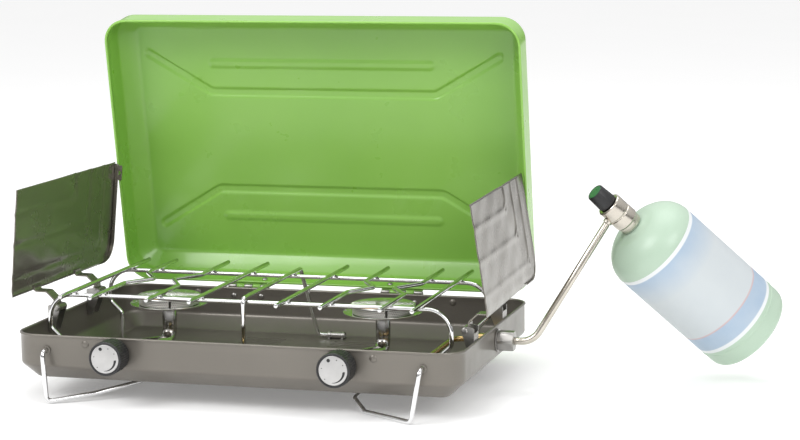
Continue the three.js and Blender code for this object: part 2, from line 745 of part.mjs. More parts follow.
// Disposable gas bottle: a hollow steel shell with a neck, domed shoulder and rounded base.
function gasBottle() {
  const neck = BOTTLE_NECK;
  const base = neck + BOTTLE_LENGTH;
  const shell = (offset) => {
    const dome = [25, 42, 60, 76, 90].map((deg) => {
      const angle = THREE.MathUtils.degToRad(deg);
      return [
        (BOTTLE_RADIUS - offset) * Math.sin(angle) ** 0.8,
        neck + 35 - (34 - offset) * Math.cos(angle),
      ];
    });
    return [...dome, [BOTTLE_RADIUS - offset, base - 9], [49 - offset, base - offset]];
  };
  const wall = 1.2;
  const inside = [[0, base - 5 - wall], [46.5 - wall, base - wall], ...shell(wall).reverse()];
  const outside = [...shell(0), [46.5, base], [0, base - 5]];
  const spout = [
    [8, neck + 5], [8, neck - 11.5], [10.6, neck - 11.5], [10.6, neck + 1], [15, neck + 2],
    [19, neck + 3],
  ];
  return aim(lathe([...inside, ...spout, ...outside], 24), BOTTLE_AXIS, REGULATOR);
}

// ---------------------------------------------------------------- assembly

const stove = new THREE.Group();

function add(name, geometry, material, parent = stove, position = [0, 0, 0]) {
  const mesh = new THREE.Mesh(geometry, material);
  mesh.name = name;
  mesh.position.set(...position);
  parent.add(mesh);
}

add('tray_shell', trayShell(), GREY_PAINT);

for (const [side, x, valveX] of [
  ['left', -BURNER_X, VALVE_LEFT_X], ['right', BURNER_X, VALVE_RIGHT_X],
]) {
  const burnerAt = [x, BURNER_Y, RIM_Z];
  const valveAt = [valveX, 0, 0];
  add(`burner_body_${side}`, burnerBody(valveX - x), CHROME, stove, [x, 0, 0]);
  add(`burner_band_${side}`, burnerBand(), CHROME, stove, burnerAt);
  add(`burner_cap_${side}`, burnerCap(), CHROME, stove, burnerAt);
  add(`burner_bracket_${side}`, burnerBracket(valveX - x), STEEL, stove, [x, 0, 0]);
  add(`burner_valve_${side}`, burnerValve(), BRASS, stove, valveAt);
  add(`valve_stem_${side}`, valveStem(), BRASS, stove, valveAt);
  add(`knob_${side}`, knobBody(), BLACK_PLASTIC, stove, valveAt);
  add(`knob_face_${side}`, knobFace(), SILVER_PLATE, stove, valveAt);
}

add('gas_inlet_fitting', inletFitting(), BRASS);
add('cross_pipe', crossPipe(), BRASS);
add('inlet_washer', inletWasher(), STEEL);
add('inlet_nut', inletNut(), STEEL);

add('grate_sleeve', grateSleeve(), STEEL);
add('grate_rail_front', grateRail(RAIL_FRONT_Y), CHROME);
add('grate_rail_back', grateRail(RAIL_BACK_Y), CHROME);
const KINKS = [0, 20, -22, 0];
GRATE_BAR_X.forEach((x, i) => {
  add(`grate_bar_left_${i + 1}`, grateBar(-x, -KINKS[i]), CHROME);
  add(`grate_bar_right_${i + 1}`, grateBar(x, KINKS[i]), CHROME);
});
add('grate_bar_middle', grateMiddleBar(), CHROME);

['front', 'back'].forEach((end, i) => {
  add(`shield_bracket_right_${end}`, shieldBracket(ARM_Y_RIGHT[i]), STEEL);
  add(`shield_bracket_left_${end}`, mirrorX(shieldBracket(ARM_Y_LEFT[i])), STEEL);
  add(`shield_pin_right_${end}`, shieldPin(ARM_Y_RIGHT[i]), STEEL);
  add(`shield_pin_left_${end}`, mirrorX(shieldPin(ARM_Y_LEFT[i])), STEEL);
});
add('wind_shield_right', windShield(SHIELD_LEAN_RIGHT, ARM_Y_RIGHT), SHIELD_PAINT);
add('wind_shield_left', mirrorX(windShield(SHIELD_LEAN_LEFT, ARM_Y_LEFT)), SHIELD_PAINT);

add('leg_wire_right', legWire(FOOT_RIGHT), CHROME);
add('leg_wire_left', mirrorX(legWire(FOOT_LEFT)), CHROME);

for (const [name, side] of [['left', -1], ['right', 1]]) {
  add(`hinge_leaf_tray_${name}`, hingeLeaf(side, -1, TRAY_KNUCKLES), STEEL);
  add(`hinge_pin_${name}`, hingePin(side), STEEL);
  hingeFixings(side).forEach((x, i) => {
    add(`hinge_screw_${name}_${i + 1}`, fixing(x, HINGE_Z - FIXING_OFFSET, GAP), STEEL);
  });
}

// The lid and its leaves are made closed and turned open together about the hinge pins.
const lidSwing = new THREE.Group();
lidSwing.position.set(0, HINGE_Y, HINGE_Z);
lidSwing.rotation.x = -THREE.MathUtils.degToRad(LID_OPEN_DEG);
stove.add(lidSwing);
add('lid_shell', lidShell(), GREEN_PAINT, lidSwing, [0, -HINGE_Y, RIM_Z + LID_GAP - HINGE_Z]);
add('hinge_leaf_lid_left', lidLeaf(-1), GREEN_PAINT, lidSwing, [0, -HINGE_Y, -HINGE_Z]);
add('hinge_leaf_lid_right', lidLeaf(1), GREEN_PAINT, lidSwing, [0, -HINGE_Y, -HINGE_Z]);

add('gas_pipe', gasPipe(), NICKEL);
add('regulator_body', regulatorBody(), NICKEL);
add('regulator_cap', regulatorCap(), BLACK_PLASTIC);
add('gas_bottle', gasBottle(), BOTTLE_PAINT);

export default stove;
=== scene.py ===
"""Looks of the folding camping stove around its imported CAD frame. Lengths below are millimetres."""

import math

import bmesh
import bpy
from mathutils import Matrix, Quaternion, Vector


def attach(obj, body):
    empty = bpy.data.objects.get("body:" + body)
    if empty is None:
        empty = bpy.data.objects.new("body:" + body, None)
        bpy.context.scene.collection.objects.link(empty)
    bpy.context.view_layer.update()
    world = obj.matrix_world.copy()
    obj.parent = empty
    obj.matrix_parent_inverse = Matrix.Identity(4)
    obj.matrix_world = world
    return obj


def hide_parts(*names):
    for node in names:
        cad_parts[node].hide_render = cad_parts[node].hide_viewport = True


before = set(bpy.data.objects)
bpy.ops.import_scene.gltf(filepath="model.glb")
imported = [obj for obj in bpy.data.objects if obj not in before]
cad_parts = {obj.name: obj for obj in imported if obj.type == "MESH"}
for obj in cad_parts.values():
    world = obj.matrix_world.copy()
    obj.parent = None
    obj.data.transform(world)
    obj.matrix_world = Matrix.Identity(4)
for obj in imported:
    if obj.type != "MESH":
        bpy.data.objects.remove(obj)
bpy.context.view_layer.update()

MM = 0.001
TAU = 2 * math.pi
RIGHTWARD, BACKWARD, FORWARD = (1, 0, 0), (0, 1, 0), (0, -1, 0)

# ------------------------------------------------------------------ driving sizes

RIM_Z = 74.0
HALF_W = 250.0
HALF_D = 160.5
BEAD = 1.2
SHEET = 1.0
WALL = 34.5
DEPTH = 51.0
INSET = 18.5
CORNER = 28.0
LID_OPEN = math.radians(80)
HINGE = (164.2, 74.3)
HINGE_X = 95.0
HINGE_HALF = 25.0
FIXING_DX = 17.0
SCREW_Z = HINGE[1] - 10.6
RIVET_Z = HINGE[1] + 10.6
LEG_HOLE = (209.5, 57.0)
GAS_Y = 3.0
LID_RIM_Z = RIM_Z + 0.6
BURNER = (125.0, -15.0)
VALVE_Z = 56.5
VALVE_X = {"left": -129.5, "right": 122.5}
VALVE_FACE = -158.0
TUBE_MOUTH_Y = -127.0
ELBOW_Z = 41.0
FLOOR_Z = 24.0
GRATE_R = 2.4
RAIL_Z = 108.6
BAR_Z = 113.7
SHIELD_FOOT = (266.5, 104.5)
SHIELD_LEAN = {"left": math.radians(5.5), "right": math.radians(9)}
SHIELD_TOE = math.radians(1.3)
SHIELD_PIVOT = (235.5, 85.0)
SHIELD_BACK = 138.0
SHIELD_LEN = 257.0
SHIELD_H = 119.3
ARM_Y = {"left": (-61.0, 44.0), "right": (-84.0, 44.0)}
FOOT = {
    "left": [(206, -170, 2.6), (162, -141, 8), (124, -108, 15.5)],
    "right": [(199.5, -170, 2.6), (140, -135, 2.6), (124, -120, 13)],
}
REGULATOR = Vector((373.0, 30.0, 199.0))
BOTTLE_AXIS = Vector((0.613, 0.434, -0.66)).normalized()
BOTTLE_R = 52.5
BOTTLE_NECK = 26.0
BOTTLE_BASE = 216.0
LABEL_START = 59.5
LABEL_END = 188.5


# ------------------------------------------------------------------ node materials


class Nodes:
    """A small helper for building one Principled material."""

    def __init__(self, name):
        self.material = bpy.data.materials.new(name)
        self.material.use_nodes = True
        self.tree = self.material.node_tree
        self.bsdf = self.tree.nodes["Principled BSDF"]
        self.coords = self.tree.nodes.new("ShaderNodeTexCoord").outputs["Object"]

    def add(self, kind, **settings):
        node = self.tree.nodes.new(kind)
        for key, value in settings.items():
            setattr(node, key, value)
        return node

    def link(self, source, target):
        self.tree.links.new(source, target)

    def noise(self, scale, detail=3.0, rough=0.55, stretch=None):
        node = self.add("ShaderNodeTexNoise")
        node.inputs["Scale"].default_value = scale
        node.inputs["Detail"].default_value = detail
        node.inputs["Roughness"].default_value = rough
        source = self.coords
        if stretch:
            mapping = self.add("ShaderNodeMapping")
            mapping.inputs["Scale"].default_value = stretch
            self.link(self.coords, mapping.inputs["Vector"])
            source = mapping.outputs["Vector"]
        self.link(source, node.inputs["Vector"])
        return node.outputs["Fac"]

    def remap(self, value, low, high, out_low, out_high):
        node = self.add("ShaderNodeMapRange")
        self.link(value, node.inputs["Value"])
        node.inputs["From Min"].default_value = low
        node.inputs["From Max"].default_value = high
        node.inputs["To Min"].default_value = out_low
        node.inputs["To Max"].default_value = out_high
        return node.outputs["Result"]

    def mix(self, factor, first, second):
        node = self.add("ShaderNodeMix", data_type="RGBA")
        self.link(factor, node.inputs["Factor"])
        for socket, value in ((node.inputs[6], first), (node.inputs[7], second)):
            if isinstance(value, tuple):
                socket.default_value = (*value, 1.0)
            else:
                self.link(value, socket)
        return node.outputs[2]

    def bump(self, heights):
        """heights: (value, strength, distance in metres), stacked."""
        previous = None
        for value, strength, distance in heights:
            node = self.add("ShaderNodeBump")
            node.inputs["Strength"].default_value = strength
            node.inputs["Distance"].default_value = distance
            self.link(value, node.inputs["Height"])
            if previous:
                self.link(previous, node.inputs["Normal"])
            previous = node.outputs["Normal"]
        self.link(previous, self.bsdf.inputs["Normal"])

    def set(self, **values):
        for key, value in values.items():
            self.bsdf.inputs[key.replace("_", " ")].default_value = value


def fill_ramp(node, stops):
    elements = node.color_ramp.elements
    for element, (position, colour) in zip(elements, (stops[0], stops[-1])):
        element.position = position
        element.color = (*colour, 1.0)
    for position, colour in stops[1:-1]:
        elements.new(position).color = (*colour, 1.0)


def enamel(name, light, dark, metallic, rough, coat, peel, worn=0.10):
    """Baked paint: slow colour drift, fine specks, orange peel, a few scuffs."""
    n = Nodes(name)
    drift = n.remap(n.noise(7.0, 2.0), 0.3, 0.7, 0.0, 1.0)
    base = n.mix(drift, dark, light)
    specks = n.remap(n.noise(1500.0, 1.0), 0.35, 0.75, 0.0, 1.4 * worn)
    lighter = tuple(min(1.0, c * 1.5 + 0.03) for c in light)
    colour = n.mix(specks, base, lighter)
    scuffs = n.remap(n.noise(38.0, 5.0, 0.7, (1.0, 1.0, 3.0)), 0.62, 0.78, 0.0, worn)
    colour = n.mix(scuffs, colour, tuple(0.5 * c + 0.12 for c in light))
    n.link(colour, n.bsdf.inputs["Base Color"])
    n.link(n.remap(n.noise(22.0, 4.0), 0.3, 0.7, rough - 0.05, rough + 0.07), n.bsdf.inputs["Roughness"])
    n.set(Metallic=metallic, Coat_Weight=coat, Coat_Roughness=0.12)
    n.bump([(n.noise(240.0, 1.0), peel, 0.0006), (n.noise(9.0, 1.0), 0.10, 0.002)])
    return n.material


def plated(name, light, dark, rough, streak=(1.0, 1.0, 1.0), tint=None, spread=0.06):
    """Bright metal with faint drawing streaks and cloudy patches."""
    n = Nodes(name)
    cloud = n.remap(n.noise(45.0, 4.0), 0.35, 0.7, 0.0, 1.0)
    colour = n.mix(cloud, light, dark)
    if tint:
        patch = n.remap(n.noise(60.0, 3.0), 0.52, 0.72, 0.0, 0.55)
        colour = n.mix(patch, colour, tint)
    n.link(colour, n.bsdf.inputs["Base Color"])
    lines = n.noise(520.0, 2.0, 0.5, streak)
    n.link(n.remap(lines, 0.3, 0.7, rough, rough + spread), n.bsdf.inputs["Roughness"])
    n.set(Metallic=1.0)
    n.bump([(lines, 0.05, 0.0002), (n.noise(120.0, 2.0), 0.04, 0.0003)])
    return n.material


def moulded(name, light, dark, rough):
    """Moulded plastic with a fine spark-eroded grain."""
    n = Nodes(name)
    n.link(n.mix(n.remap(n.noise(60.0, 3.0), 0.3, 0.7, 0.0, 1.0), dark, light), n.bsdf.inputs["Base Color"])
    n.link(n.remap(n.noise(300.0, 2.0), 0.3, 0.7, rough - 0.08, rough + 0.1), n.bsdf.inputs["Roughness"])
    n.bump([(n.noise(1400.0, 2.0), 0.25, 0.0003)])
    return n.material


def label_material():
    """Plain faded paper label: pale blue bands between white rings, no lettering."""
    n = Nodes("bottle_label_print")
    split = n.add("ShaderNodeSeparateXYZ")
    n.link(n.coords, split.inputs[0])
    waver = n.remap(n.noise(14.0, 1.0), 0.3, 0.7, -0.0004, 0.0004)
    height = n.add("ShaderNodeMath", operation="ADD")
    n.link(split.outputs["Z"], height.inputs[0])
    n.link(waver, height.inputs[1])
    along = n.remap(height.outputs[0], LABEL_START * MM, LABEL_END * MM, 0.0, 1.0)
    ramp = n.add("ShaderNodeValToRGB")
    n.link(along, ramp.inputs["Fac"])
    white, blue, grey, pink = (0.72, 0.74, 0.75), (0.34, 0.44, 0.56), (0.52, 0.56, 0.58), (0.54, 0.38, 0.39)
    stops = [
        (0.0, white), (0.031, white), (0.038, blue), (0.31, grey), (0.79, grey), (0.796, pink), (0.804, pink),
        (0.81, blue), (0.962, blue), (0.97, white), (1.0, white),
    ]
    fill_ramp(ramp, stops)
    fade = n.remap(n.noise(30.0, 4.0), 0.35, 0.75, 0.0, 0.22)
    colour = n.mix(fade, ramp.outputs["Color"], (0.60, 0.63, 0.62))
    n.link(colour, n.bsdf.inputs["Base Color"])
    n.link(n.remap(n.noise(160.0, 3.0), 0.3, 0.7, 0.38, 0.52), n.bsdf.inputs["Roughness"])
    n.bump([(n.noise(900.0, 2.0), 0.08, 0.0002)])
    return n.material


GREEN = enamel("green_enamel", (0.245, 0.50, 0.078), (0.222, 0.468, 0.068), 0.0, 0.30, 0.35, 0.05, 0.03)
GREY = enamel("grey_enamel", (0.175, 0.160, 0.138), (0.150, 0.137, 0.118), 0.45, 0.34, 0.15, 0.06)
SHIELD = enamel("shield_enamel", (0.215, 0.200, 0.170), (0.190, 0.176, 0.150), 0.72, 0.24, 0.10, 0.05, 0.05)
CHROME = plated("bright_chrome", (0.80, 0.80, 0.80), (0.70, 0.70, 0.70), 0.05, (1.0, 0.1, 1.0))
BURNER_METAL = plated(
    "burner_plate", (0.74, 0.73, 0.70), (0.62, 0.61, 0.58), 0.10, (1.0, 1.0, 0.2), (0.62, 0.52, 0.38))
TUBE_METAL = plated(
    "tube_plate", (0.62, 0.61, 0.59), (0.50, 0.49, 0.47), 0.12, (1.0, 0.2, 1.0), (0.34, 0.30, 0.24))
CAP_METAL = plated("cap_plate", (0.82, 0.81, 0.79), (0.76, 0.75, 0.73), 0.10)
BAND_METAL = plated("band_plate", (0.60, 0.59, 0.56), (0.50, 0.49, 0.46), 0.30)
# Near-black plating: painted shade behind the flame band's holes, and the dark colour of the band seam.
SEAM_AND_HOLE_SHADE = plated("band_shadow", (0.060, 0.055, 0.050), (0.035, 0.032, 0.030), 0.45)
# Dark plating for the weld beads; the darkness also paints the shade where bars cross the rails.
WELD_AND_CROSSING_SHADE = plated("weld_bead_crossing_shade", (0.26, 0.25, 0.24), (0.16, 0.155, 0.15), 0.40)
ZINC = plated("zinc_steel", (0.42, 0.41, 0.39), (0.32, 0.31, 0.30), 0.28, (0.2, 1.0, 1.0), None, 0.14)
BRASS = plated(
    "turned_brass", (0.62, 0.44, 0.20), (0.50, 0.35, 0.16), 0.18, (1.0, 0.2, 1.0), (0.40, 0.27, 0.13), 0.12)
NICKEL = plated("satin_nickel", (0.62, 0.58, 0.51), (0.52, 0.48, 0.42), 0.16, (1.0, 1.0, 0.1), None, 0.10)
BLACK = moulded("black_plastic", (0.020, 0.020, 0.021), (0.010, 0.010, 0.011), 0.42)
GREEN_PLASTIC = moulded("green_plastic", (0.03, 0.16, 0.05), (0.02, 0.12, 0.04), 0.35)
PRINT = moulded("black_print", (0.016, 0.016, 0.017), (0.009, 0.009, 0.010), 0.5)
PLATE = plated(
    "knob_plate_silver", (0.55, 0.54, 0.535), (0.48, 0.475, 0.47), 0.30, (0.1, 1.0, 1.0), None, 0.12)
MINT = enamel("mint_enamel", (0.42, 0.545, 0.43), (0.39, 0.51, 0.40), 0.0, 0.40, 0.15, 0.04, 0.05)
LABEL = label_material()

SLOTS = {
    "lid_green": [GREEN],
    "tray_grey": [GREY],
    "shield_grey": [SHIELD],
    "chrome_wire": [CHROME, WELD_AND_CROSSING_SHADE],
    "burner_metal": [BURNER_METAL, TUBE_METAL, CAP_METAL, BAND_METAL, SEAM_AND_HOLE_SHADE],
    "steel_bits": [ZINC],
    "brass": [BRASS],
    "pipe_nickel": [NICKEL],
    "black_plastic": [BLACK, GREEN_PLASTIC, PRINT],
    "knob_plate": [PLATE],
    "bottle_paint": [MINT, LABEL],
}
SLOT_OF = {material.name: slot for slot, materials in SLOTS.items() for material in materials}


# ------------------------------------------------------------------ mesh code


class Shape:
    """Vertices and faces in millimetres that can be turned, mirrored and joined."""

    def __init__(self, verts=(), faces=()):
        self.verts = [Vector(v) for v in verts]
        self.faces = [tuple(f) for f in faces]

    def __add__(self, other):
        shift = len(self.verts)
        moved = [tuple(i + shift for i in f) for f in other.faces]
        return Shape(self.verts + other.verts, self.faces + moved)

    def moved(self, x=0.0, y=0.0, z=0.0):
        offset = Vector((x, y, z))
        return Shape([v + offset for v in self.verts], self.faces)

    def turned(self, matrix):
        return Shape([matrix @ v for v in self.verts], self.faces)

    def mirrored(self):
        return Shape([(-v.x, v.y, v.z) for v in self.verts], [f[::-1] for f in self.faces])


def opened(shape):
    """From the lid's closed place to its open place, about the hinge pins."""
    centre = Vector((0.0, *HINGE))
    turn = Matrix.Rotation(-LID_OPEN, 3, "X")
    return Shape([centre + turn @ (v - centre) for v in shape.verts], shape.faces)


def fill_mesh(name, shape):
    mesh = bpy.data.meshes.new(name)
    mesh.from_pydata([v * MM for v in shape.verts], [], shape.faces)
    return mesh


def place(name, mesh):
    piece = bpy.data.objects.new(name, mesh)
    bpy.context.scene.collection.objects.link(piece)
    return piece


def build(name, shape, material, body, nodes=(), sharp=32, bevel=0.0, solid=0.0, offset=0.0):
    """Clean the mesh, give it material, sheet thickness or softened edges, and tie it to the frame."""
    mesh = fill_mesh(name, shape)
    edit = bmesh.new()
    edit.from_mesh(mesh)
    bmesh.ops.remove_doubles(edit, verts=edit.verts, dist=2e-6)
    bmesh.ops.dissolve_degenerate(edit, edges=edit.edges, dist=1e-6)
    bmesh.ops.recalc_face_normals(edit, faces=edit.faces)
    edit.to_mesh(mesh)
    edit.free()
    for face in mesh.polygons:
        face.use_smooth = True
    mesh.set_sharp_from_angle(angle=math.radians(sharp))
    mesh.materials.append(material)
    piece = place(name, mesh)
    if solid:
        skin = piece.modifiers.new("thickness", "SOLIDIFY")
        skin.thickness = solid * MM
        skin.offset = offset
    if bevel:
        edge = piece.modifiers.new("edges", "BEVEL")
        edge.width = bevel * MM
        edge.segments = 2
        edge.limit_method = "ANGLE"
        edge.angle_limit = math.radians(35)
        edge.harden_normals = True
    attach(piece, body)
    if nodes:
        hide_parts(*nodes)
    return piece


def loops(rings, closed_rings=True, caps=True):
    """Skin between rings of the same number of points."""
    count = len(rings[0])
    verts = [p for ring in rings for p in ring]
    faces = []
    last = count if closed_rings else count - 1
    for r in range(len(rings) - 1):
        for i in range(last):
            k = (i + 1) % count
            faces.append((r * count + i, r * count + k, (r + 1) * count + k, (r + 1) * count + i))
    if caps:
        faces.append(tuple(range(count - 1, -1, -1)))
        faces.append(tuple(range((len(rings) - 1) * count, len(rings) * count)))
    return Shape(verts, faces)


def lathe(profile, sides=56):
    """Profile of (radius, height) turned about Z; a profile that starts on the axis is capped there."""
    verts, faces, rows = [], [], []
    for radius, height in profile:
        if radius < 1e-6:
            rows.append([len(verts)])
            verts.append((0.0, 0.0, height))
        else:
            rows.append(list(range(len(verts), len(verts) + sides)))
            verts += [(x, y, height) for x, y in circle(radius, sides)]
    for a, b in zip(rows, rows[1:]):
        for i in range(sides):
            k = (i + 1) % sides
            if len(a) == 1 and len(b) > 1:
                faces.append((a[0], b[k], b[i]))
            elif len(b) == 1 and len(a) > 1:
                faces.append((a[i], a[k], b[0]))
            elif len(a) > 1:
                faces.append((a[i], a[k], b[k], b[i]))
    return Shape(verts, faces)


def soften(profile, reach=0.5, steps=3):
    """Round the corners of a profile by a small radius."""
    out = [profile[0]]
    for before, here, after in zip(profile, profile[1:], profile[2:]):
        p, a, b = Vector(here), Vector(before), Vector(after)
        cut = min(reach, (a - p).length * 0.45, (b - p).length * 0.45)
        start = p + (a - p).normalized() * cut
        end = p + (b - p).normalized() * cut
        for k in range(steps + 1):
            t = k / steps
            q = start * (1 - t) ** 2 + p * 2 * t * (1 - t) + end * t * t
            out.append((q.x, q.y))
    out.append(profile[-1])
    return out


def spun(profile, reach, sides):
    return lathe(soften(profile, reach), sides)


def aimed(shape, direction, origin):
    turn = Vector((0, 0, 1)).rotation_difference(Vector(direction)).to_matrix()
    return Shape([turn @ v + Vector(origin) for v in shape.verts], shape.faces)


def bent(points, radius, steps=7):
    """Corner points replaced by arcs."""
    points = [Vector(p) for p in points]
    out = [points[0]]
    for a, p, b in zip(points, points[1:], points[2:]):
        back, ahead = (a - p).normalized(), (b - p).normalized()
        half = back.angle(ahead) / 2
        reach = radius / math.tan(half)
        start, end = p + back * reach, p + ahead * reach
        centre = p + (back + ahead).normalized() * (radius / math.sin(half))
        sweep = math.pi - 2 * half
        for k in range(steps + 1):
            t = k / steps
            one = (start - centre) * math.sin((1 - t) * sweep)
            two = (end - centre) * math.sin(t * sweep)
            out.append(centre + (one + two) / math.sin(sweep))
    out.append(points[-1])
    return out


def polar(radius, angle, x=0.0, y=0.0):
    return (x + radius * math.cos(angle), y + radius * math.sin(angle))


def circle(radius, count, x=0.0, y=0.0):
    return [polar(radius, TAU * k / count, x, y) for k in range(count)]


def arc(radius, start, sweep, steps, x=0.0, y=0.0):
    """Points of an arc from an angle through a sweep, in degrees."""
    return [polar(radius, math.radians(start + sweep * k / steps), x, y) for k in range(steps + 1)]


def swept(points, radius, sides=18, blunt=0.22):
    """Round bar or pipe along points, its two ends slightly rounded over."""
    points = [Vector(p) for p in points]
    first = (points[1] - points[0]).normalized()
    last = (points[-1] - points[-2]).normalized()
    easing = blunt * radius
    path = [points[0], points[0] + first * easing * 0.35, points[0] + first * easing]
    path += points[1:-1]
    path += [points[-1] - last * easing, points[-1] - last * easing * 0.35, points[-1]]
    ending = [1 - blunt, 1 - blunt * 0.35, 1.0]
    scale = ending + [1.0] * (len(points) - 2) + ending[::-1]
    tangents = []
    for i in range(len(path)):
        a, b = path[max(i - 1, 0)], path[min(i + 1, len(path) - 1)]
        tangents.append((b - a).normalized())
    normal = tangents[0].orthogonal().normalized()
    rings = []
    for i, (p, t) in enumerate(zip(path, tangents)):
        if i:
            normal = tangents[i - 1].rotation_difference(t) @ normal
        side = t.cross(normal).normalized()
        rings.append([
            p + (normal * math.cos(TAU * k / sides) + side * math.sin(TAU * k / sides)) * radius * scale[i]
            for k in range(sides)
        ])
    return loops(rings)


def rod(start, end, radius, sides=32, blunt=0.2):
    return swept([start, (Vector(start) + Vector(end)) / 2, end], radius, sides, blunt)


def extruded(outline, low, high, axis="Z"):
    """Flat outline given depth along an axis; X and Y axes take outlines of (y, z) and (x, z)."""
    place = {
        "Z": lambda p, d: (p[0], p[1], d),
        "Y": lambda p, d: (p[0], d, p[1]),
        "X": lambda p, d: (d, p[0], p[1]),
    }[axis]
    return loops([[place(p, low) for p in outline], [place(p, high) for p in outline]])


def block(x, y, z, w, d, h):
    outline = [(x - w / 2, y - d / 2), (x + w / 2, y - d / 2), (x + w / 2, y + d / 2), (x - w / 2, y + d / 2)]
    return extruded(outline, z - h / 2, z + h / 2)


def ribbon(centres, thickness, low, high):
    """Strap: a line of (x, z) points with a thickness, from low to high along Y."""
    left, right = [], []
    for i, p in enumerate(centres):
        a, b = centres[max(i - 1, 0)], centres[min(i + 1, len(centres) - 1)]
        along = (Vector(b) - Vector(a)).normalized()
        side = Vector((-along.y, along.x)) * thickness / 2
        left.append(tuple(Vector(p) + side))
        right.append(tuple(Vector(p) - side))
    rings = []
    for y in (low, high):
        rings.append([(x, y, z) for x, z in left + right[::-1]])
    return loops(rings)


def bored(piece_name, cutters):
    """Cut shapes out of a built piece for good."""
    piece = bpy.data.objects[piece_name]
    mesh = fill_mesh("cutter", sum(cutters, Shape()))
    edit = bmesh.new()
    edit.from_mesh(mesh)
    bmesh.ops.recalc_face_normals(edit, faces=edit.faces)
    edit.to_mesh(mesh)
    edit.free()
    tool = place("cutter", mesh)
    hole = piece.modifiers.new("holes", "BOOLEAN")
    hole.operation = "DIFFERENCE"
    hole.solver = "EXACT"
    hole.object = tool
    graph = bpy.context.evaluated_depsgraph_get()
    result = bpy.data.meshes.new_from_object(piece.evaluated_get(graph))
    piece.modifiers.clear()
    piece.data = result
    result.set_sharp_from_angle(angle=math.radians(32))
    bpy.data.objects.remove(tool)
    return piece


# ------------------------------------------------------------------ pressings


def outline_ring(inset, z, long_side, short_side, corner_steps):
    """Rounded rectangle with evenly divided sides."""
    w, d = HALF_W - inset, HALF_D - inset
    radius = max(CORNER - inset, 5.0)
    radius = min(radius, d * 0.98)
    points = []
    sides = (long_side, short_side, long_side, short_side)
    signs = ((1, 1), (-1, 1), (-1, -1), (1, -1))
    for c, (sx, sy) in enumerate(signs):
        centre = (sx * (w - radius), sy * (d - radius))
        for i in range(corner_steps + 1):
            angle = math.pi / 2 * (c + i / corner_steps)
            points.append((centre[0] + radius * math.cos(angle), centre[1] + radius * math.sin(angle)))
        nx, ny = signs[(c + 1) % 4]
        start = points[-1]
        after = math.pi / 2 * (c + 1)
        nxt = (nx * (w - radius) + radius * math.cos(after), ny * (d - radius) + radius * math.sin(after))
        for i in range(1, sides[c]):
            t = i / sides[c]
            points.append((start[0] + (nxt[0] - start[0]) * t, start[1] + (nxt[1] - start[1]) * t))
    return [(x, y, z) for x, y in points]


def pressing_profile(thickness):
    """(inset, height) from the underside edge, over the rolled rim, to the inner floor edge."""
    inner = BEAD + thickness
    outside = [(BEAD + INSET, -DEPTH), (BEAD, -WALL), (BEAD, -4.2)]
    inside = [(inner, -4.0), (inner, -WALL + 0.4), (inner + INSET - 0.6, -DEPTH + thickness)]
    rolled = []
    for k in range(9):
        angle = math.radians(-60 + 240 * k / 8)
        rolled.append((BEAD + 0.35 - 1.55 * math.cos(angle), -1.6 + 1.55 * math.sin(angle)))
    return outside, rolled, inside


def fillet(corner, before, after, reach, steps=4):
    p, a, b = Vector(corner), Vector(before), Vector(after)
    start = p + (a - p).normalized() * reach
    end = p + (b - p).normalized() * reach
    out = []
    for k in range(steps + 1):
        t = k / steps
        q = start * (1 - t) ** 2 + p * 2 * t * (1 - t) + end * t * t
        out.append((q.x, q.y))
    return out


def pressing(long_side, short_side, corner_steps, floor_rings, relief):
    """Shallow tray with its rim at Z = 0 and its floor below; relief(x, y) lifts the floor sheet."""
    outside, rolled, inside = pressing_profile(SHEET)
    low_out, low_in = (160.0, -DEPTH), (160.0, -DEPTH + SHEET)
    wall = fillet(outside[0], low_out, outside[1], 3.2)
    wall += fillet(outside[1], outside[0], outside[2], 3.0)
    wall += [(BEAD, -12.0), outside[2]]
    wall += rolled
    wall += [inside[0], (inside[0][0], -12.0)]
    wall += fillet(inside[1], inside[0], inside[2], 3.0)
    wall += fillet(inside[2], inside[1], low_in, 3.2)
    rings = []
    start, end = wall[0][0], HALF_D - 1.5
    insets = [end + (start - end) * (k / floor_rings) for k in range(floor_rings)]
    make = lambda inset, z: outline_ring(inset, z, long_side, short_side, corner_steps)
    for inset in insets:
        rings.append([(x, y, z + relief(x, y)) for x, y, z in make(inset, -DEPTH)])
    rings += [make(inset, z) for inset, z in wall]
    for inset in reversed(insets):
        rings.append([(x, y, z + relief(x, y)) for x, y, z in make(inset + SHEET * 0.4, -DEPTH + SHEET)])
    return loops(rings)


def distance_to(line, x, y):
    best = 1e9
    for (ax, ay), (bx, by) in zip(line, line[1:]):
        dx, dy = bx - ax, by - ay
        t = max(0.0, min(1.0, ((x - ax) * dx + (y - ay) * dy) / (dx * dx + dy * dy)))
        best = min(best, math.hypot(x - ax - t * dx, y - ay - t * dy))
    return best


def smooth_line(points, radius):
    return [(p.x, p.y) for p in bent([(x, y, 0.0) for x, y in points], radius, 5)]


CHANNELS = [
    smooth_line([(-215, -104), (-140, -58.5), (138, -58.5), (212, -104)], 14),
    smooth_line([(-216, 108), (-140, 61.5), (136, 61.5), (213, 107)], 14),
]
RIBS = [[(-132, -92.5), (130, -92.5)], [(-135, 96.5), (130, 96.5)]]


def step_down(value, edge, width):
    t = max(0.0, min(1.0, (edge - value) / width + 0.5))
    return t * t * (3 - 2 * t)


def lid_relief(x, y):
    """Pressed channels stand out of the lid's back, straight ribs stand into the lid."""
    height = 0.0
    for line in CHANNELS:
        d = distance_to(line, x, y)
        if d < 8:
            height -= 1.7 * step_down(d, 4.6, 2.6)
    for line in RIBS:
        d = distance_to(line, x, y)
        if d < 9:
            height += 1.5 * step_down(d, 4.4, 4.4)
    return height


def build_lid():
    shape = pressing(170, 104, 10, 92, lid_relief)
    closed = shape.turned(Matrix.Rotation(math.pi, 3, "X")).moved(z=LID_RIM_Z)
    build("lid_pressing", opened(closed), GREEN, "lid", ["lid_shell"], sharp=40)


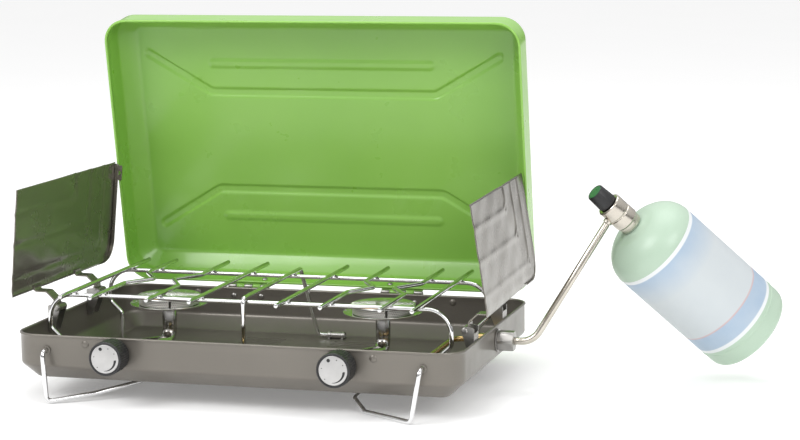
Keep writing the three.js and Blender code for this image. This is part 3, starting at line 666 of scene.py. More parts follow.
def drain_slot(x, y):
    """Cutter for one round-ended slot through the tray floor."""
    half, radius = 23.3, 1.7
    right_end = arc(radius, -90, 180, 6, x + half, y)
    left_end = arc(radius, 90, 180, 6, x - half, y)
    return extruded(left_end + right_end, 20, 28)


def fixings(side):
    """Where a hinge's two screws or rivets stand, along X."""
    return side * HINGE_X - FIXING_DX, side * HINGE_X + FIXING_DX


def build_tray():
    """Pressed tray, cut for the drain slots, valve stems, wire feet, hinge screws and gas inlet."""
    shape = pressing(8, 6, 10, 1, lambda x, y: 0.0).moved(z=RIM_Z)
    build("tray_pressing", shape, GREY, "tray", ["tray_shell"], sharp=30)
    cutters = []
    for side in (-1, 1):
        cutters += [drain_slot(side * 54, 80 + 9 * row) for row in range(4)]
        for end in (-1, 1):
            x, z = side * LEG_HOLE[0], LEG_HOLE[1]
            cutters.append(rod((x, end * 150, z), (x, end * 170, z), 3.4, 24, 0.01))
        for x in fixings(side):
            cutters.append(rod((x, 150, SCREW_Z), (x, 170, SCREW_Z), 1.9, 16, 0.01))
    for x in VALVE_X.values():
        cutters.append(rod((x, -190, VALVE_Z), (x, -150, VALVE_Z), 4.5, 24, 0.01))
    cutters.append(rod((235, GAS_Y, VALVE_Z), (260, GAS_Y, VALVE_Z), 7, 32, 0.01))
    bored("tray_pressing", cutters)


def build_dimples():
    """Small pressed buttons in the tray walls beside the burners."""
    dome = lathe([(0.0, 1.5), (1.6, 1.4), (3.0, 0.9), (3.9, 0.25), (4.3, -0.15)], 32)
    shape = Shape()
    for front, back in ((-164, -158), (157, 158)):
        shape = shape + aimed(dome, FORWARD, (front, -HALF_D + BEAD, 65))
        shape = shape + aimed(dome, FORWARD, (back, HALF_D - BEAD - SHEET, 66))
    build("tray_dimples", shape, GREY, "tray", solid=0.5, offset=-1)


# ------------------------------------------------------------------ hinges


def hinge_leaf(side, up, knuckles):
    """Leaf above (up = 1) or below (up = -1) the pin, notched for the other leaf's knuckles."""
    y0 = HALF_D + 0.3
    near, far = (1.2, 20.0) if up > 0 else (-0.6, -20.0)
    middle, z, edge = side * HINGE_X, HINGE[1], HINGE_HALF
    levels = [(-edge, near)]
    for a, b in knuckles:
        levels += [(a, near), (a, near - up * 1.2), (b, near - up * 1.2), (b, near)]
    levels.append((edge, near))
    notched = []
    for point in levels:
        if not notched or max(abs(notched[-1][0] - point[0]), abs(notched[-1][1] - point[1])) > 1e-6:
            notched.append(point)
    cut_corner = far - up * 3
    far_side = [(edge, cut_corner), (edge - 3, far), (-edge + 3, far), (-edge, cut_corner)]
    shape = extruded([(middle + x, z + h) for x, h in notched + far_side], y0, y0 + 1.2, "Y")
    for a, b in knuckles:
        profile = [(1.6, a + 0.01), (2.8, a), (2.8, b), (1.6, b - 0.01), (1.6, a + 0.01)]
        shape = shape + aimed(lathe(soften(profile, 0.25, 2), 28), RIGHTWARD, (middle, HINGE[0], z))
    return shape


def head(x, z, inside):
    """Round fixing head on the inner wall or on the leaf."""
    profile = [(0.0, 1.7), (1.2, 1.62), (2.3, 1.25), (3.1, 0.6), (3.4, 0.0), (1.5, 0.0), (1.5, -1.4)]
    if inside:
        return aimed(lathe(profile, 28), FORWARD, (x, HALF_D - BEAD - SHEET - 0.3, z))
    smaller = [(r * 0.85, h * 0.85) for r, h in profile]
    return aimed(lathe(smaller, 28), BACKWARD, (x, HALF_D + 1.55, z))


TRAY_KNUCKLES = [(-25.0, -15.3), (-4.7, 4.7), (15.3, 25.0)]
LID_KNUCKLES = [(-14.7, -5.3), (5.3, 14.7)]


def build_hinges():
    for name, side in (("left", -1), ("right", 1)):
        leaf = hinge_leaf(side, -1, TRAY_KNUCKLES)
        build(f"tray_leaf_{name}", leaf, ZINC, "tray", [f"hinge_leaf_tray_{name}"], bevel=0.15)
        reach = HINGE_HALF + 1
        pin = rod((side * HINGE_X - reach, *HINGE), (side * HINGE_X + reach, *HINGE), 1.5, 24, 0.35)
        build(f"pin_{name}", pin, ZINC, "tray", [f"hinge_pin_{name}"])
        for i, x in enumerate(fixings(side)):
            screw = head(x, SCREW_Z, True) + head(x, SCREW_Z, False)
            build(f"tray_screw_{name}_{i + 1}", screw, ZINC, "tray", [f"hinge_screw_{name}_{i + 1}"])
        leaf = opened(hinge_leaf(side, 1, LID_KNUCKLES))
        build(f"lid_leaf_{name}", leaf, GREEN, "lid", [f"hinge_leaf_lid_{name}"], bevel=0.15)
        rivets = Shape()
        for x in fixings(side):
            rivets = rivets + head(x, RIVET_Z, True) + head(x, RIVET_Z, False)
        build(f"lid_rivets_{name}", opened(rivets), ZINC, "lid")


# ------------------------------------------------------------------ burners


def perforated_band():
    """Strip of staggered round holes, rolled into a ring."""
    columns, rows = 84, 4
    cell = TAU / columns
    z0, pitch = 11.6, 1.95
    radius, hole = 33.1, 0.78
    verts, faces = [], []

    def put(u, z):
        verts.append((radius * math.cos(u), radius * math.sin(u), z))
        return len(verts) - 1

    for row in range(rows):
        for col in range(columns):
            left = (col + 0.5 * (row % 2)) * cell
            bottom = z0 + row * pitch
            cu, cz = left + cell / 2, bottom + pitch / 2
            around = [(1, 0), (1, 1), (0, 1), (-1, 1), (-1, 0), (-1, -1), (0, -1), (1, -1)]
            outer = [put(cu + a * cell / 2, cz + b * pitch / 2) for a, b in around]
            inner = []
            for k in range(8):
                angle = TAU * k / 8
                inner.append(put(cu + hole / radius * math.cos(angle), cz + hole * math.sin(angle)))
            for k in range(8):
                m = (k + 1) % 8
                faces.append((outer[k], outer[m], inner[m], inner[k]))
    top = z0 + rows * pitch
    half = 2 * columns
    for low, high in ((11.5, z0), (top, 19.6)):
        for k in range(half):
            a, b = cell / 2 * k, cell / 2 * (k + 1)
            faces.append((put(a, low), put(b, low), put(b, high), put(a, high)))
    seam = []
    for k in range(5):
        u = -1.17 + (k - 2) * 0.018
        bulge = radius + 0.75 - 0.16 * (k - 2) ** 2
        seam.append([(bulge * math.cos(u), bulge * math.sin(u), z) for z in (11.7, 13, 16, 19.5)])
    return Shape(verts, faces), loops(seam, closed_rings=False, caps=False)


MOUTH = [(7.2, -0.6), (9.2, -0.6), (9.4, 1.4), (8.0, 3.5), (7.2, 1.0), (7.2, -0.6)]


def build_burners():
    band, seam = perforated_band()
    # Dark sleeve inside each flame band: painted shade, so the holes read dark.
    hole_shade_sleeve = lathe([(31.8, 11.4), (32.3, 11.4), (32.3, 19.5), (31.8, 19.5), (31.8, 11.4)], 96)
    dish = spun([
        (7.3, 4.7), (10, 5.2), (42.4, 10.7), (43.4, 11.8), (43.5, 12.5), (42.9, 12.7), (41.6, 11.7), (34, 11.1),
        (10, 7.4), (7.3, 7.4), (7.3, 4.7),
    ], 0.5, 96)
    cap = lathe(soften([
        (0.0, 21.5), (20, 21.45), (34.6, 21.25), (35.8, 20.5), (35.9, 19.6), (35.2, 19.6), (34.4, 20.0),
        (0.0, 20.3),
    ], 0.5, 4), 96)
    for name, x in (("left", -BURNER[0]), ("right", BURNER[0])):
        valve_x = VALVE_X[name]
        at = dict(x=x, y=BURNER[1], z=RIM_Z)
        corners = [(valve_x, TUBE_MOUTH_Y, VALVE_Z), (x, BURNER[1], ELBOW_Z), (x, BURNER[1], RIM_Z + 5.3)]
        path = bent(corners, 15, 12)
        tube = swept(path, 8.1, 32, 0.05)
        mouth = aimed(spun(MOUTH, 0.4, 40), BACKWARD, (valve_x, TUBE_MOUTH_Y + 0.6, VALVE_Z))
        body = [f"burner_body_{name}"]
        band_node = [f"burner_band_{name}"]
        build(f"burner_cup_{name}", dish.moved(**at), BURNER_METAL, "tray", body, sharp=40)
        build(f"mixing_tube_{name}", tube + mouth, TUBE_METAL, "tray", body, sharp=40)
        build(f"flame_band_{name}", band.moved(**at), BAND_METAL, "tray", band_node, sharp=50, solid=0.5)
        build(f"band_hole_shade_{name}", hole_shade_sleeve.moved(**at), SEAM_AND_HOLE_SHADE, "tray", band_node)
        build(f"band_seam_{name}", seam.moved(**at), SEAM_AND_HOLE_SHADE, "tray", solid=0.4)
        build(f"flame_cap_{name}", cap.moved(**at), CAP_METAL, "tray", [f"burner_cap_{name}"], sharp=40)
        build_bracket(name, x, valve_x)
        build_valve(name, valve_x)
        build_knob(name, valve_x)


def build_bracket(name, burner_x, valve_x):
    """Sheet saddle under the mixing tube, where the tube passes over it."""
    saddle_y, base = -60.0, FLOOR_Z + 0.3
    along = (saddle_y - TUBE_MOUTH_Y) / (BURNER[1] - TUBE_MOUTH_Y)
    x = valve_x + (burner_x - valve_x) * along
    z = VALVE_Z + (ELBOW_Z - VALVE_Z) * along
    outline = [(-16, base), (16, base), (12.4, z - 3), (11.6, z)]
    outline += arc(8.7, 0, -180, 12, 0.0, z) + [(-11.6, z), (-12.4, z - 3)]
    saddle = extruded([(x + a, b) for a, b in outline], saddle_y - 0.8, saddle_y + 0.8, "Y")
    foot = block(x, saddle_y + 5, base + 0.7, 32, 11, 1.4)
    build(f"tube_saddle_{name}", saddle + foot, ZINC, "tray", [f"burner_bracket_{name}"], bevel=0.2)


def build_valve(name, x):
    body = block(x, VALVE_FACE + 11, VALVE_Z, 17, 22, 17)
    turned = spun([
        (0.0, 21), (5.4, 21), (5.4, 24.4), (4.6, 25.2), (4.6, 27), (2.1, 27.6), (2.1, 32.5), (1.4, 33.6),
        (0.0, 33.6),
    ], 0.3, 32)
    nozzle = aimed(turned, BACKWARD, (x, VALVE_FACE, VALVE_Z))
    build(f"gas_valve_{name}", body + nozzle, BRASS, "tray", [f"burner_valve_{name}"], bevel=0.5)


def knob_grip(x):
    """Fluted grip with a shallow recess in its face."""
    ribs = 44
    count = ribs * 4
    flute = (0.0, 0.5, 0.62, 0.5)
    rings = []
    for y, radius in ((-162.6, 17.2), (-163.4, 18.0), (-186.1, 18.55), (-187.7, 18.3), (-188.4, 17.6)):
        depth = 0.4 if y < -187.5 else 1.0
        points = [polar(radius - flute[k % 4] * depth, TAU * k / count, x, VALVE_Z) for k in range(count)]
        rings.append([(a, y, b) for a, b in points])
    for y, radius in ((-188.5, 16.9), (-188.2, 16.2), (-187.6, 15.9), (-187.5, 12.0)):
        rings.append([(a, y, b) for a, b in circle(radius, count, x, VALVE_Z)])
    return loops(rings)


def knob_marks(x):
    """Dial marks: an arc that tapers away, one dot and four small dots."""
    low, high, radius, steps = -188.28, -188.1, 13.0, 24
    crescent = arc(radius, 263, 94, steps)
    for k in range(steps + 1):
        t = 1 - k / steps
        deep = 2.6 * t ** 0.8 * min(1.0, (1 - t) * 12 + 0.5) + 0.12
        crescent.append(polar(radius - deep, math.radians(263 + 94 * t)))
    marks = extruded([(x + a, VALVE_Z + b) for a, b in crescent], low, high, "Y")
    dots = ((114, 11.6, 1.9), (70, 12.0, 0.6), (30, 12.4, 0.55), (170, 12.4, 0.5), (226, 12.6, 0.5))
    for angle, far, size in dots:
        centre = polar(far, math.radians(angle), x, VALVE_Z)
        marks = marks + extruded(circle(size, 20, *centre), low, high, "Y")
    return marks


def build_knob(name, x):
    body = f"knob_{name}"
    build(f"knob_grip_{name}", knob_grip(x), BLACK, body, [f"knob_{name}"], sharp=45)
    disc = spun([(0.0, 0.5), (15.2, 0.5), (15.6, 0.1), (15.5, 0.0), (0.0, 0.0)], 0.2, 72)
    disc = aimed(disc, FORWARD, (x, -187.65, VALVE_Z))
    build(f"knob_disc_{name}", disc, PLATE, body, [f"knob_face_{name}"])
    build(f"knob_marks_{name}", knob_marks(x), PRINT, body)
    stem = rod((x, -180.5, VALVE_Z), (x, -147, VALVE_Z), 3.0, 32)
    build(f"knob_stem_{name}", stem, BRASS, body, [f"valve_stem_{name}"])


# ------------------------------------------------------------------ gas inlet and pipes


def hexagon(radius, low, high, hole, chamfer=0.8, step=None, tight=None):
    """Hexagon nut body about +Z with turned-down corners and a round hole, tighter above a step."""
    sides, flats = 48, []
    for k in range(sides):
        angle = TAU * k / sides
        local = (angle + math.pi / 6) % (math.pi / 3) - math.pi / 6
        flats.append(radius * math.cos(math.pi / 6) / math.cos(local))
    turned = radius * 0.93
    levels = [(low, turned * 0.99), (low + chamfer, radius), (high - chamfer, radius), (high, turned * 0.99)]
    outer = [[(min(f, limit), z) for f in flats] for z, limit in levels]
    inside = [(hole, low)]
    beyond = [(tight, high), (tight, step), (hole, step)] if step else [(hole, high)]
    rows = [[inside[0]] * sides] + outer + [[place] * sides for place in beyond + inside]
    rings = [[(*polar(r, TAU * k / sides), z) for k, (r, z) in enumerate(row)] for row in rows]
    return loops(rings, caps=False)


def build_gas_inlet():
    y, z = GAS_Y, VALVE_Z
    wall, pipe_y = HALF_W - BEAD - SHEET - 0.3, VALVE_FACE + 12
    path = bent([(218, y, z), (200, y, z), (200, pipe_y, z), (131.5, pipe_y, z)], 12, 8)
    supply = swept(path, 3.0, 20, 0.1)
    socket = [(0.0, 216.0), (7.0, 216.0), (7.0, wall - 8), (0.0, wall - 8)]
    nipple = [(0.0, wall), (6.5, wall), (6.5, 256.0), (0.0, 256.0)]
    turned = spun(socket, 0.5, 40) + hexagon(10.0, wall - 8, wall, 3.0) + spun(nipple, 0.6, 40)
    fitting = supply + aimed(turned, RIGHTWARD, (0, y, z))
    build("inlet_fitting", fitting, BRASS, "tray", ["gas_inlet_fitting"])
    cross = rod((-120.4, pipe_y, z), (113.4, pipe_y, z), 3.0, 24)
    build("cross_tube", cross, BRASS, "tray", ["cross_pipe"])
    ring = spun([(6.9, 0.0), (12.5, 0.0), (12.5, 1.4), (6.9, 1.4), (6.9, 0.0)], 0.3, 48)
    build("inlet_ring", aimed(ring, RIGHTWARD, (249.1, y, z)), ZINC, "tray", ["inlet_washer"])
    nut = aimed(hexagon(11.8, 0.0, 17.1, 6.9, 1.0, 6.3, 4.4), RIGHTWARD, (250.9, y, z))
    build("union_nut", nut, ZINC, "inlet_nut", ["inlet_nut"])


def build_gas_line():
    elbow = Vector((288.5, 3.0, VALVE_Z))
    rise = (REGULATOR - elbow).normalized()
    path = bent([(258, 3, VALVE_Z), elbow, REGULATOR - rise * 17.2], 23, 14)
    build("bent_gas_pipe", swept(path, 3.95, 28, 0.12), NICKEL, "gas_line", ["gas_pipe"])
    body = spun([
        (0.0, -11), (13.0, -11), (14.2, -9.8), (14.2, 3.8), (13.4, 4.5), (13.4, 5.5), (14.2, 6.2),
        (14.2, 17.3), (13.2, 18.6), (13.2, 24.8), (12.8, 25.5), (11.1, 25.5), (11.1, 14.0), (0.0, 14.0),
    ], 0.4, 64)
    boss = rod(REGULATOR - rise * 16.9, REGULATOR - rise * 6, 4.9, 32, 0.16)
    shape = aimed(body, BOTTLE_AXIS, REGULATOR) + boss
    build("regulator_housing", shape, NICKEL, "gas_line", ["regulator_body"], sharp=28)
    sides, rings = 120, []
    for height, radius in ((-31.5, 8.5), (-31.95, 9.1), (-31.0, 9.9), (-12.6, 10.8), (-11.6, 10.3)):
        ring = []
        for k in range(sides):
            dent = 0.0 if k % 4 < 2 or height < -30.9 or height > -12.0 else 0.35
            ring.append((*polar(radius - dent, TAU * k / sides), height))
        rings.append(ring)
    cap = aimed(loops(rings), BOTTLE_AXIS, REGULATOR)
    build("regulator_grip", cap, BLACK, "gas_line", ["regulator_cap"], sharp=40)
    disc = spun([(0.0, -32.15), (7.7, -32.1), (8.2, -31.8), (8.2, -31.4), (0.0, -31.4)], 0.2, 48)
    build("regulator_disc", aimed(disc, BOTTLE_AXIS, REGULATOR), GREEN_PLASTIC, "gas_line")


def bottle_dome(start, extra=0.0):
    """Shoulder arc of the bottle from an angle up to the full radius."""
    points = []
    for k in range(13):
        angle = math.radians(start + (90 - start) * k / 12)
        height = BOTTLE_NECK + 35 - (34 + extra) * math.cos(angle)
        points.append(((BOTTLE_R + extra) * math.sin(angle) ** 0.8, height))
    return points


def bottle_profile():
    neck, base = BOTTLE_NECK, BOTTLE_BASE
    spout = [(8.0, neck + 5), (8.0, neck - 11.5), (10.6, neck - 11.5), (10.6, neck + 0.7)]
    spout += [(15.0, neck + 2), (19.0, neck + 3)]
    foot = [(BOTTLE_R, base - 9), (52.0, base - 5.5), (50.4, base - 2.2), (48.0, base - 0.4)]
    foot += [(46.0, base), (0.0, base - 5)]
    return spout + bottle_dome(25) + foot


def build_bottle():
    neck, base = BOTTLE_NECK, BOTTLE_BASE
    inner = [
        (0.0, base - 6.5), (45.0, base - 1.5), (51.2, base - 9.5), (51.2, neck + 36), (30.0, neck + 9.5),
        (8.0, neck + 5.5),
    ]
    shell = lathe(inner + soften(bottle_profile(), 0.8, 3), 96)
    build("bottle_shell", aimed(shell, BOTTLE_AXIS, REGULATOR), MINT, "gas_bottle", ["gas_bottle"], sharp=40)
    outside = bottle_dome(87.5, 0.22) + [(BOTTLE_R + 0.22, LABEL_END)]
    inside = [(r - 0.4, z) for r, z in reversed(outside)]
    label = build("bottle_label", lathe(outside + inside + outside[:1], 96), LABEL, "gas_bottle", sharp=40)
    turn = Vector((0, 0, 1)).rotation_difference(BOTTLE_AXIS).to_matrix().to_4x4()
    label.matrix_basis = Matrix.Translation(REGULATOR * MM) @ turn
    seam = lathe([(52.3, 192.8), (52.85, 193.2), (52.95, 194.2), (52.8, 195.2), (52.2, 195.7)], 96)
    build("bottle_seam", aimed(seam, BOTTLE_AXIS, REGULATOR), MINT, "gas_bottle")


# ------------------------------------------------------------------ grate and wire feet


def rail_path(y):
    foot = FLOOR_Z + 0.3
    side = [(213, y, foot), (213, y, RIM_Z - 16), (227, y, RIM_Z - 3), (227, y, RAIL_Z - 30)]
    low = bent(side, 8, 5)[:-1]
    arch = bent([(227, y, RIM_Z - 1), (227, y, RAIL_Z), (-227, y, RAIL_Z), (-227, y, RIM_Z - 1)], 26, 12)[1:-1]
    other = [Vector((-p.x, p.y, p.z)) for p in reversed(low)]
    return low + arch + other


def build_grate():
    for name, y in (("front", -108.0), ("back", 56.0)):
        rail = swept(rail_path(y), GRATE_R, 20)
        build(f"rail_{name}", rail, CHROME, "grate", [f"grate_rail_{name}"], sharp=60)
    kinks = ((48.5, 0.0), (97.0, 20.0), (161.5, -22.0), (196.0, 0.0))
    for i, (x, kink) in enumerate(kinks):
        for name, side in (("left", -1), ("right", 1)):
            if kink:
                corners = [(-150, 0), (-56, 0), (-21, kink), (14, 0), (102, 0)]
                path = bent([(side * (x + k), y, BAR_Z) for y, k in corners], 6, 6)
            else:
                path = [(side * x, y, BAR_Z) for y in (-150, -60, 30, 102)]
            bar = swept(path, GRATE_R, 20)
            build(f"bar_{name}_{i + 1}", bar, CHROME, "grate", [f"grate_bar_{name}_{i + 1}"], sharp=60)
    middle = bent([
        (0, -116, FLOOR_Z + 0.3), (0, -116, BAR_Z), (0, 77, BAR_Z), (4, 125, 28), (36, 125, 28),
    ], 6, 7)
    build("bar_middle", swept(middle, GRATE_R, 20), CHROME, "grate", ["grate_bar_middle"], sharp=60)
    # Weld beads at the bar crossings, dark in colour: partly the weld itself, partly painted shade at the
    # contact.
    welds = Shape()
    bead = lathe([(0.0, 0.6), (1.0, 0.45), (1.3, 0.0), (1.0, -0.45), (0.0, -0.6)], 16)
    for y in (-108.0, 56.0):
        for x in (-196, -161.5, -97, -48.5, 0, 48.5, 97, 161.5, 196):
            welds = welds + bead.moved(x, y, (RAIL_Z + BAR_Z) / 2)
    build("grate_welds", welds, WELD_AND_CROSSING_SHADE, "grate", sharp=60)
    sleeve = spun([(2.7, 16), (3.8, 16), (3.8, 37), (2.7, 37), (2.7, 16)], 0.2, 32)
    build("pivot_sleeve", aimed(sleeve, RIGHTWARD, (0, 125, 28)), ZINC, "tray", ["grate_sleeve"])
    clips = Shape()
    for x in (18.5, 34.5):
        outer = [(133.0, 24.15), (133.0, 24.9), (129.4, 24.9)] + arc(4.4, 0, 180, 12, 125, 28)
        outer += [(120.6, 24.9), (117.0, 24.9), (117.0, 24.15)]
        inner = [(121.3, 24.15)] + arc(3.8, 180, -180, 12, 125, 28) + [(128.7, 24.15)]
        clips = clips + extruded(outer + inner, x - 1.4, x + 1.4, "X")
    build("sleeve_clips", clips, ZINC, "tray")


def build_legs():
    for name, side in (("left", -1), ("right", 1)):
        half = [(209.5, -152, 57), (209.5, -170, 57), *FOOT[name], (124, -60, 17)]
        corners = half + [(x, -y, z) for x, y, z in reversed(half)]
        corners = [(side * x, y, z) for x, y, z in corners]
        wire = swept(bent(corners, 6, 8), 2.6, 22)
        build(f"foot_wire_{name}", wire, CHROME, f"leg_{name}", [f"leg_wire_{name}"], sharp=60)
    eyelets = Shape()
    ring = spun([(2.9, -1.4), (4.9, -1.3), (5.0, -0.5), (3.4, 0.1), (3.3, 1.2), (2.9, 1.2), (2.9, -1.4)], 0.2, 32)
    for x in (-209.5, 209.5):
        eyelets = eyelets + aimed(ring, BACKWARD, (x, -HALF_D + BEAD - 0.1, 57))
        eyelets = eyelets + aimed(ring, FORWARD, (x, HALF_D - BEAD + 0.1, 57))
    build("foot_eyelets", eyelets, GREY, "tray")


# ------------------------------------------------------------------ wind shields


def shield_relief(back, up):
    """Three nested pressed L lines, parallel to the back and bottom edges."""
    height = 0.0
    for d_back, d_up in ((30.0, 21.0), (68.0, 57.0), (106.0, 92.0)):
        soft = 14.0
        a, b = back - d_back, up - d_up
        inside = min(a, b)
        if a < soft and b < soft and a > 0 and b > 0:
            inside = soft - math.hypot(soft - a, soft - b)
        strength = 1.0 - 0.55 * step_down(b - a, 0.0, 30.0)
        height += strength * (1.3 * math.exp(-((inside / 3.4) ** 2)) + 0.5 * step_down(-inside, 0.0, 9.0))
    return height


def shield_point(lean, along, up, off):
    """Panel coordinates to the right side's place: along Y, up the sheet, off it outward."""
    s, c = math.sin(lean), math.cos(lean)
    return (SHIELD_FOOT[0] - up * s + off * c, along, SHIELD_FOOT[1] + up * c + off * s)


def toed(shape, name):
    """Turn a right-hand shape a little about the tray's middle line, and mirror it for the left."""
    turn = Matrix.Rotation(SHIELD_TOE, 3, "Z")
    turned = shape.moved(x=-SHIELD_PIVOT[0]).turned(turn).moved(x=SHIELD_PIVOT[0])
    return turned.mirrored() if name == "left" else turned


def shield_panel(lean):
    columns, rows, radius = 116, 58, 26.0
    rings = []
    front = SHIELD_BACK - SHIELD_LEN
    for r in range(rows + 1):
        row = []
        for k in range(columns + 1):
            y = front + SHIELD_LEN * k / columns
            up = SHIELD_H * r / rows
            a, b = (y - (SHIELD_BACK - radius)) / radius, (radius - up) / radius
            if a > 0 and b > 0:
                a, b = a * math.sqrt(1 - b * b / 2), b * math.sqrt(1 - a * a / 2)
                y, up = SHIELD_BACK - radius + a * radius, radius - b * radius
            off = shield_relief(SHIELD_BACK - y, up) - 0.9
            off *= min(1.0, max(0.0, (SHIELD_BACK - y) / 8))
            lip = max(0.0, 1 - up / 7.0) * 1.4
            ripple = 0.2 * math.sin(y * 0.11 + 1.3) * math.sin(up * 0.16 + 0.4)
            row.append(shield_point(lean, y, up, off - lip + ripple))
        rings.append(row)
    return loops(rings, closed_rings=False, caps=False)


def shield_lip(lean):
    """Edge turned inward down the back of the sheet and around its lower corner, tapering off."""
    radius, back = 26.0, SHIELD_BACK - 0.5
    path = [(back - radius - 30 + 6 * k, 0.4) for k in range(5)]
    path += arc(radius, -90, 90, 12, back - radius, radius + 0.4)
    path += [(back, radius + 6 + (SHIELD_H - radius - 8) * k / 14) for k in range(15)]
    rows = []
    for k, (y, up) in enumerate(path):
        depth = min(5.4, 1.2 + 0.42 * k)
        rows.append([shield_point(lean, y, up, off) for off in (0.4, -0.45 * depth, -0.9 * depth, -depth)])
    return loops(rows, closed_rings=False, caps=False)


def shield_tab(lean):
    outline = [(-0.6, 98), (-9.2, 98), (-10.2, 99), (-10.2, 115), (-9.2, 116), (-0.6, 116)]
    near = [shield_point(lean, SHIELD_BACK - 1.0, up, off) for off, up in outline]
    far = [shield_point(lean, SHIELD_BACK, up, off) for off, up in outline]
    return loops([near, far])


def shield_arms(lean, stations):
    arms = Shape()
    px, pz = SHIELD_PIVOT
    for y in stations:
        upper = [shield_point(lean, y, up, -2.9)[::2] for up in (-1.5, 5.0)]
        line = [(px + 3.2, pz), (px + 3.6, pz + 9), (px + 13, pz + 17.6)] + upper
        centre = [(p.x, p.z) for p in bent([(a, 0, b) for a, b in line], 3.4, 6)]
        arms = arms + ribbon(centre, 1.6, y - 8, y + 8)
        eye = spun([(2.5, -8), (4.1, -8), (4.1, 8), (2.5, 8), (2.5, -8)], 0.3, 32)
        arms = arms + aimed(eye, BACKWARD, (px, y, pz))
    return arms


def build_shields():
    for name in ("right", "left"):
        lean = SHIELD_LEAN[name]
        body, node = f"shield_{name}", [f"wind_shield_{name}"]
        sheet = toed(shield_panel(lean), name)
        build(f"shield_sheet_{name}", sheet, SHIELD, body, node, solid=0.9, sharp=60)
        build(f"shield_lip_{name}", toed(shield_lip(lean), name), SHIELD, body, solid=0.9)
        build(f"shield_tab_{name}", toed(shield_tab(lean), name), SHIELD, body, bevel=0.15)
        centre = shield_point(lean, SHIELD_BACK - 0.5, 107, -6.0)
        hole = rod(Vector(centre) - Vector((0, 4, 0)), Vector(centre) + Vector((0, 4, 0)), 2.6, 24, 0.01)
        bored(f"shield_tab_{name}", [toed(hole, name)])
        arms = toed(shield_arms(lean, ARM_Y[name]), name)
        build(f"shield_goosenecks_{name}", arms, SHIELD, body, node, bevel=0.25)
        for end, y in zip(("front", "back"), ARM_Y[name]):
            build_shield_bracket(name, end, y)


def build_shield_bracket(name, end, y):
    px, pz = SHIELD_PIVOT[0] - y * math.tan(SHIELD_TOE), SHIELD_PIVOT[1]
    wall = HALF_W - BEAD - SHEET - 0.3
    outline = [(wall, pz - 27), (wall, pz + 2.2), (wall - 1.2, pz + 3.2), (px + 2.6, pz + 4.3)]
    outline += arc(3.9, 75, 130, 8, px, pz) + [(wall - 6, pz - 27)]
    shape = Shape()
    for side in (-1, 1):
        shape = shape + extruded(outline, y + side * 9.2 - 0.6, y + side * 9.2 + 0.6, "Y")
    shape = shape + block(wall - 0.6, y, pz - 15, 1.2, 18, 24)
    pin = spun([
        (0.0, -11.6), (2.4, -11.5), (3.3, -10.9), (3.3, -10.1), (2.0, -10.1),
        (2.0, 10.1), (3.3, 10.1), (3.3, 10.9), (2.4, 11.5), (0.0, 11.6),
    ], 0.2, 28)
    pin = aimed(pin, BACKWARD, (px, y, pz))
    if name == "left":
        shape, pin = shape.mirrored(), pin.mirrored()
    node = [f"shield_bracket_{name}_{end}"]
    build(f"shield_lug_{name}_{end}", shape, ZINC, "tray", node, bevel=0.2)
    build(f"shield_rivet_{name}_{end}", pin, ZINC, "tray", [f"shield_pin_{name}_{end}"])


# ------------------------------------------------------------------ stage, light and camera


def build_stage():
    reach, level = 9000, -0.2
    near, far = [[(-reach, y, level), (reach, y, level)] for y in (-reach, reach)]
    mesh = fill_mesh("floor", loops([near, far], False, False))
    plane = place("floor", mesh)
    n = Nodes("studio_floor")
    n.link(n.mix(n.noise(3.0, 2.0), (0.86, 0.86, 0.86), (0.88, 0.88, 0.88)), n.bsdf.inputs["Base Color"])
    n.set(Roughness=0.9)
    n.bsdf.inputs["Specular IOR Level"].default_value = 0.1
    n.bsdf.inputs["Emission Color"].default_value = (1.0, 1.0, 1.0, 1.0)
    n.bsdf.inputs["Emission Strength"].default_value = 0.20
    mesh.materials.append(n.material)


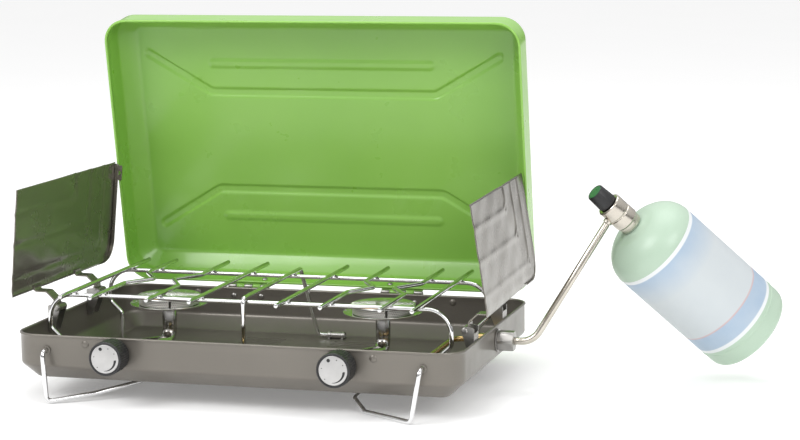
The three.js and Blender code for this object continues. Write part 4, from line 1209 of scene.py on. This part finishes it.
def build_world():
    world = bpy.data.worlds.new("studio")
    bpy.context.scene.world = world
    world.use_nodes = True
    tree = world.node_tree
    tree.nodes.clear()
    new = tree.nodes.new
    out = new("ShaderNodeOutputWorld")
    pale, room = new("ShaderNodeBackground"), new("ShaderNodeBackground")
    blend, path = new("ShaderNodeMixShader"), new("ShaderNodeLightPath")
    coords, split, ramp = new("ShaderNodeTexCoord"), new("ShaderNodeSeparateXYZ"), new("ShaderNodeValToRGB")
    pale.inputs["Color"].default_value = (1.0, 1.0, 1.0, 1)
    pale.inputs["Strength"].default_value = 1.0
    tree.links.new(coords.outputs["Generated"], split.inputs[0])
    tree.links.new(split.outputs["Z"], ramp.inputs["Fac"])
    stops = ((0.0, 0.16), (0.10, 0.30), (0.26, 0.85), (0.55, 1.05), (1.0, 1.0))
    fill_ramp(ramp, [(position, (value, value, value)) for position, value in stops])
    tree.links.new(ramp.outputs["Color"], room.inputs["Color"])
    room.inputs["Strength"].default_value = 0.85
    tree.links.new(path.outputs["Is Camera Ray"], blend.inputs["Fac"])
    tree.links.new(room.outputs[0], blend.inputs[1])
    tree.links.new(pale.outputs[0], blend.inputs[2])
    tree.links.new(blend.outputs[0], out.inputs["Surface"])


def area_light(name, at, target, size, watts):
    data = bpy.data.lights.new(name, "AREA")
    data.shape = "RECTANGLE"
    data.size, data.size_y = size
    data.energy = watts
    light = bpy.data.objects.new(name, data)
    light.location = at
    light.rotation_euler = (Vector(target) - Vector(at)).to_track_quat("-Z", "Y").to_euler()
    bpy.context.scene.collection.objects.link(light)


def build_lights():
    area_light("key", (-1.5, -2.0, 2.3), (0, 0, 0.1), (1.6, 1.2), 42)
    area_light("fill", (1.9, -1.6, 1.5), (0.05, 0, 0.15), (1.4, 1.2), 22)
    area_light("top", (0.1, 0.5, 2.6), (0, 0, 0.1), (2.0, 1.6), 26)


def build_camera():
    azimuth, pitch, roll = 0.282517, 0.147933, -0.0111
    forward = Vector((
        -math.sin(azimuth) * math.cos(pitch), math.cos(azimuth) * math.cos(pitch), -math.sin(pitch)))
    right = Vector((math.cos(azimuth), math.sin(azimuth), 0.0))
    up = right.cross(forward)
    tilted_right = right * math.cos(roll) + up * math.sin(roll)
    tilted_up = up * math.cos(roll) - right * math.sin(roll)
    data = bpy.data.cameras.new("camera")
    data.sensor_width = 36.0
    data.lens = 2283.17 / 800 * 36.0
    data.clip_end = 50.0
    camera = bpy.data.objects.new("camera", data)
    turn = Matrix((tilted_right, tilted_up, -forward)).transposed()
    camera.matrix_world = Matrix.Translation((0.82702, -2.36253, 0.55215)) @ turn.to_4x4()
    bpy.context.scene.collection.objects.link(camera)
    bpy.context.scene.camera = camera


build_lid()
build_tray()
build_dimples()
build_hinges()
build_burners()
build_gas_inlet()
build_gas_line()
build_bottle()
build_grate()
build_legs()
build_shields()
build_stage()
build_world()
build_lights()
build_camera()
bpy.context.scene.view_settings.view_transform = "Standard"
